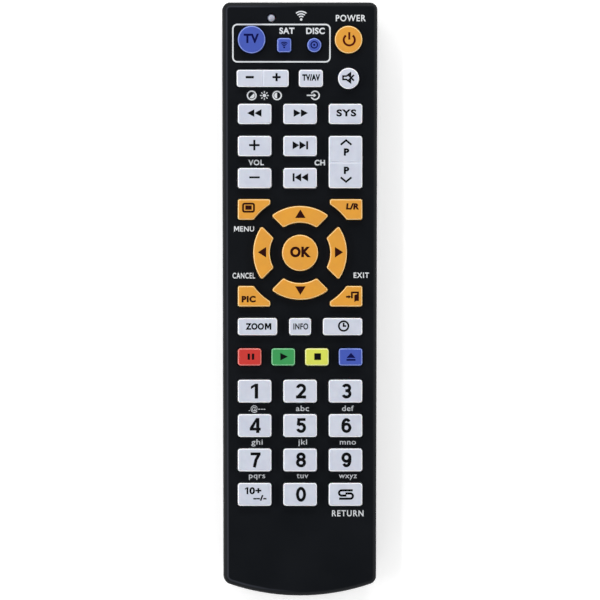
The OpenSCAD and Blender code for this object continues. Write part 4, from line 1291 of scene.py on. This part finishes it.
@dataclass
class BatteryBay:
    """The sliding door, the contacts, the two cells and their springs.

    The wire's direction at a point is taken between two points of the wire, a probe's share before and after.
    """

    part: Part
    rounding: float = 0.1
    plate: float = 0.4
    spring_length: float = 4.7
    wire: float = 0.7
    base_diameter: float = 7.0
    tip_diameter: float = 4.4
    turns: float = 3.0
    rings_per_turn: int = 28
    wire_sides: int = 12
    probe: float = 0.001

    def _wire_point(self, share: float) -> Vector:
        """Gives a point on the middle of the wire.

        Args:
            share: How far along the wire, from 0 at the plate to 1 at the cell.

        Returns:
            The point, with the spring's axis along +Y from the plate.
        """
        radius = (self.base_diameter + (self.tip_diameter - self.base_diameter) * share) / 2
        angle = 2 * math.pi * self.turns * share
        rise = self.wire / 2 + (self.spring_length - self.wire) * share
        return Vector((radius * math.cos(angle), rise, radius * math.sin(angle)))

    def _add_spring(self, mesh: BMesh, foot: Vector, way: int) -> None:
        """Adds one round-wire spring.

        Args:
            mesh: Mesh that takes it.
            foot: Where its axis meets the plate, in millimetres.
            way: 1 where it points to +Y, or -1 where it is turned about.
        """
        count = round(self.turns * self.rings_per_turn)
        rings = []
        for i in range(count + 1):
            share = i / count
            middle = self._wire_point(share)
            along = (self._wire_point(share + self.probe) - self._wire_point(share - self.probe)).normalized()
            out = along.cross(Vector((0.0, 1.0, 0.0))).normalized()
            up = along.cross(out)
            ring = []
            for j in range(self.wire_sides):
                angle = 2 * math.pi * j / self.wire_sides
                place = middle + (out * math.cos(angle) + up * math.sin(angle)) * self.wire / 2
                ring.append(mesh.verts.new((foot + Vector((place.x * way, place.y * way, place.z))) * MM))
            rings.append(ring)
        for a, b in zip(rings, rings[1:]):
            for j in range(self.wire_sides):
                k = (j + 1) % self.wire_sides
                mesh.faces.new((a[j], a[k], b[k], b[j])).smooth = True
        mesh.faces.new(rings[0])
        mesh.faces.new(rings[-1])

    def build(self) -> None:
        """Winds the two springs from round wire."""
        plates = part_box("battery_contacts")
        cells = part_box("battery_cells")
        radius = (cells[1].z - cells[0].z) / 2
        height = (cells[0].z + radius) / MM
        side = (cells[1].x - radius) / MM
        mesh = bmesh.new()
        self._add_spring(mesh, Vector((-side, plates[0].y / MM + self.plate, height)), 1)
        self._add_spring(mesh, Vector((side, plates[1].y / MM - self.plate, height)), -1)
        bmesh.ops.recalc_face_normals(mesh, faces=mesh.faces)
        springs = add_piece("round_wire_springs", mesh, "case")
        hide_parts("battery_springs")
        self.part.palette.dress(springs, FINISHES["nickel"])

    def dress(self) -> None:
        """Gives the door, the contacts and the cells their finishes."""
        self.part.dress(("battery_door",), self.rounding)
        self.part.dress(("battery_contacts",), self.rounding / 2)
        film = replace(FINISHES["cell_jacket"], middle=self.part.middle("battery_cells")[1])
        self.part.dress(("battery_cells",), self.rounding, film)


@dataclass
class Studio:
    """A pale floor, soft strips of light on four sides and a camera above the face.

    The strips hang low, so that keys and edges catch them on their rounded rims, where the finishes also
    paint a highlight, and the black face stays dark. One narrow strip higher on the left lights the line
    along the left edge of the face, where the case's finish also paints a highlight. A strip's bearing is in
    degrees from +X, anticlockwise seen from above, and its rise in degrees over the floor.
    """

    face: float
    floor_size: float = 6000.0
    floor_drop: float = 0.05
    floor_colour: str = "#f2f2f2"
    floor_glow: float = 0.38
    white: str = "#ffffff"
    sky_heights: Point = (0.05, 0.6)
    sky_strengths: Point = (1.6, 0.05)
    strip_distance: float = 950.0
    low_size: Point = (1000.0, 160.0)
    low_rise: float = 30.0
    low_strips: tuple[tuple[str, float, float], ...] = (
        ("left_strip", 180.0, 9.0), ("head_strip", 90.0, 11.0), ("right_strip", 0.0, 6.0),
        ("tail_strip", 270.0, 5.0),
    )
    edge_size: Point = (900.0, 50.0)
    edge_rise: float = 66.0
    edge_bearing: float = 180.0
    edge_radiance: float = 9.0
    frame_width: float = 205.8
    aim: Point = (0.0, -0.35)
    lean: float = 0.9
    camera_height: float = 5000.0
    sensor: float = 36.0
    far_clip: float = 20.0

    def build(self) -> None:
        """Makes the floor, the world, the lights and the camera."""
        self._floor()
        self._world()
        for name, bearing, radiance in self.low_strips:
            self._strip(name, bearing, self.low_rise, self.low_size, radiance)
        self._strip("edge_strip", self.edge_bearing, self.edge_rise, self.edge_size, self.edge_radiance)
        self._camera()

    def _floor(self) -> None:
        """Lays the floor just under the part."""
        half = self.floor_size / 2 * MM
        mesh = bmesh.new()
        corners = box_outline((-half, -half), (half, half))
        mesh.faces.new([mesh.verts.new((x, y, -self.floor_drop * MM)) for x, y in corners])
        floor = add_object("floor", mesh)
        material = bpy.data.materials.new("white_paper")
        tree = bare_tree(material)
        # Matt white paper: what light misses on the way down is made up for the camera and for reflections
        paper = add_node(tree, "BsdfDiffuse", {"Color": self.floor_colour})
        glow = add_node(tree, "Emission", {"Color": self.white, "Strength": self.floor_glow})
        rays = add_node(tree, "LightPath").node.outputs
        seen = rays["Is Camera Ray"]
        for ray in ("Is Glossy Ray", "Is Transmission Ray"):
            seen = add_node(tree, "Math", {0: seen, 1: rays[ray]}, operation="MAXIMUM")
        lit = add_node(tree, "AddShader", {0: paper, 1: glow})
        mix = add_node(tree, "MixShader", {0: seen, 1: paper, 2: lit})
        add_node(tree, "OutputMaterial", {"Surface": mix})
        floor.data.materials.append(material)

    def _world(self) -> None:
        """Makes a pale surround that is darkest straight above."""
        world = bpy.data.worlds.new("studio")
        bpy.context.scene.world = world
        tree = bare_tree(world)
        way = add_node(tree, "TexCoord", out="Generated")
        span = {
            "Value": add_node(tree, "SeparateXYZ", {0: way}, "Z"),
            "From Min": self.sky_heights[0], "From Max": self.sky_heights[1],
            "To Min": self.sky_strengths[0], "To Max": self.sky_strengths[1],
        }
        strength = add_node(tree, "MapRange", span, interpolation_type="SMOOTHSTEP")
        glow = add_node(tree, "Background", {"Color": self.white, "Strength": strength})
        add_node(tree, "OutputWorld", {"Surface": glow})

    def _strip(self, name: str, bearing: float, rise: float, size: Point, radiance: float) -> None:
        """Hangs one strip of light that faces the part.

        Args:
            name: Name of the light.
            bearing: Its direction.
            rise: How high it hangs.
            size: Its length, which lies level, and its height.
            radiance: How bright it looks.
        """
        light = bpy.data.lights.new(name, "AREA")
        light.shape = "RECTANGLE"
        light.size = size[0] * MM
        light.size_y = size[1] * MM
        light.energy = radiance * math.pi * light.size * light.size_y
        lamp = add_object(name, light)
        turn, tilt = math.radians(bearing), math.radians(rise)
        way = Vector((math.cos(turn) * math.cos(tilt), math.sin(turn) * math.cos(tilt), math.sin(tilt)))
        lamp.location = way * self.strip_distance * MM
        lamp.rotation_euler = (-way).to_track_quat("-Z", "Y").to_euler()

    def _camera(self) -> None:
        """Hangs the camera far above with a long lens, leaning a little to the left as in the photograph."""
        lean, height = math.radians(self.lean), self.camera_height - self.face
        lens = bpy.data.cameras.new("camera")
        lens.sensor_width = self.sensor
        lens.lens = self.sensor * (height / math.cos(lean)) / self.frame_width
        lens.clip_end = self.far_clip
        camera = add_object("camera", lens)
        target = Vector((*self.aim, self.face)) * MM
        camera.location = target + Vector((-height * math.tan(lean) * MM, 0.0, height * MM))
        camera.rotation_euler = (0.0, -lean, 0.0)
        bpy.context.scene.camera = camera


def main() -> None:
    """Loads the frame, then builds and dresses each sub-assembly and sets the studio round it."""
    logging.basicConfig(level=logging.INFO, format="%(name)s: %(message)s")
    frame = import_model()
    slots = {sub["node"]: sub["material_slot"] for sub in frame["record"]["subparts"]}
    part = Part(frame["nodes"], slots, Palette())
    for assembly in (Case(part), Keypad(part), BatteryBay(part)):
        assembly.build()
        assembly.dress()
    Electronics(part).dress()
    Studio(part.top("front_cover")).build()
    bpy.context.scene.view_settings.view_transform = "Standard"


if __name__ == "__main__":
    main()
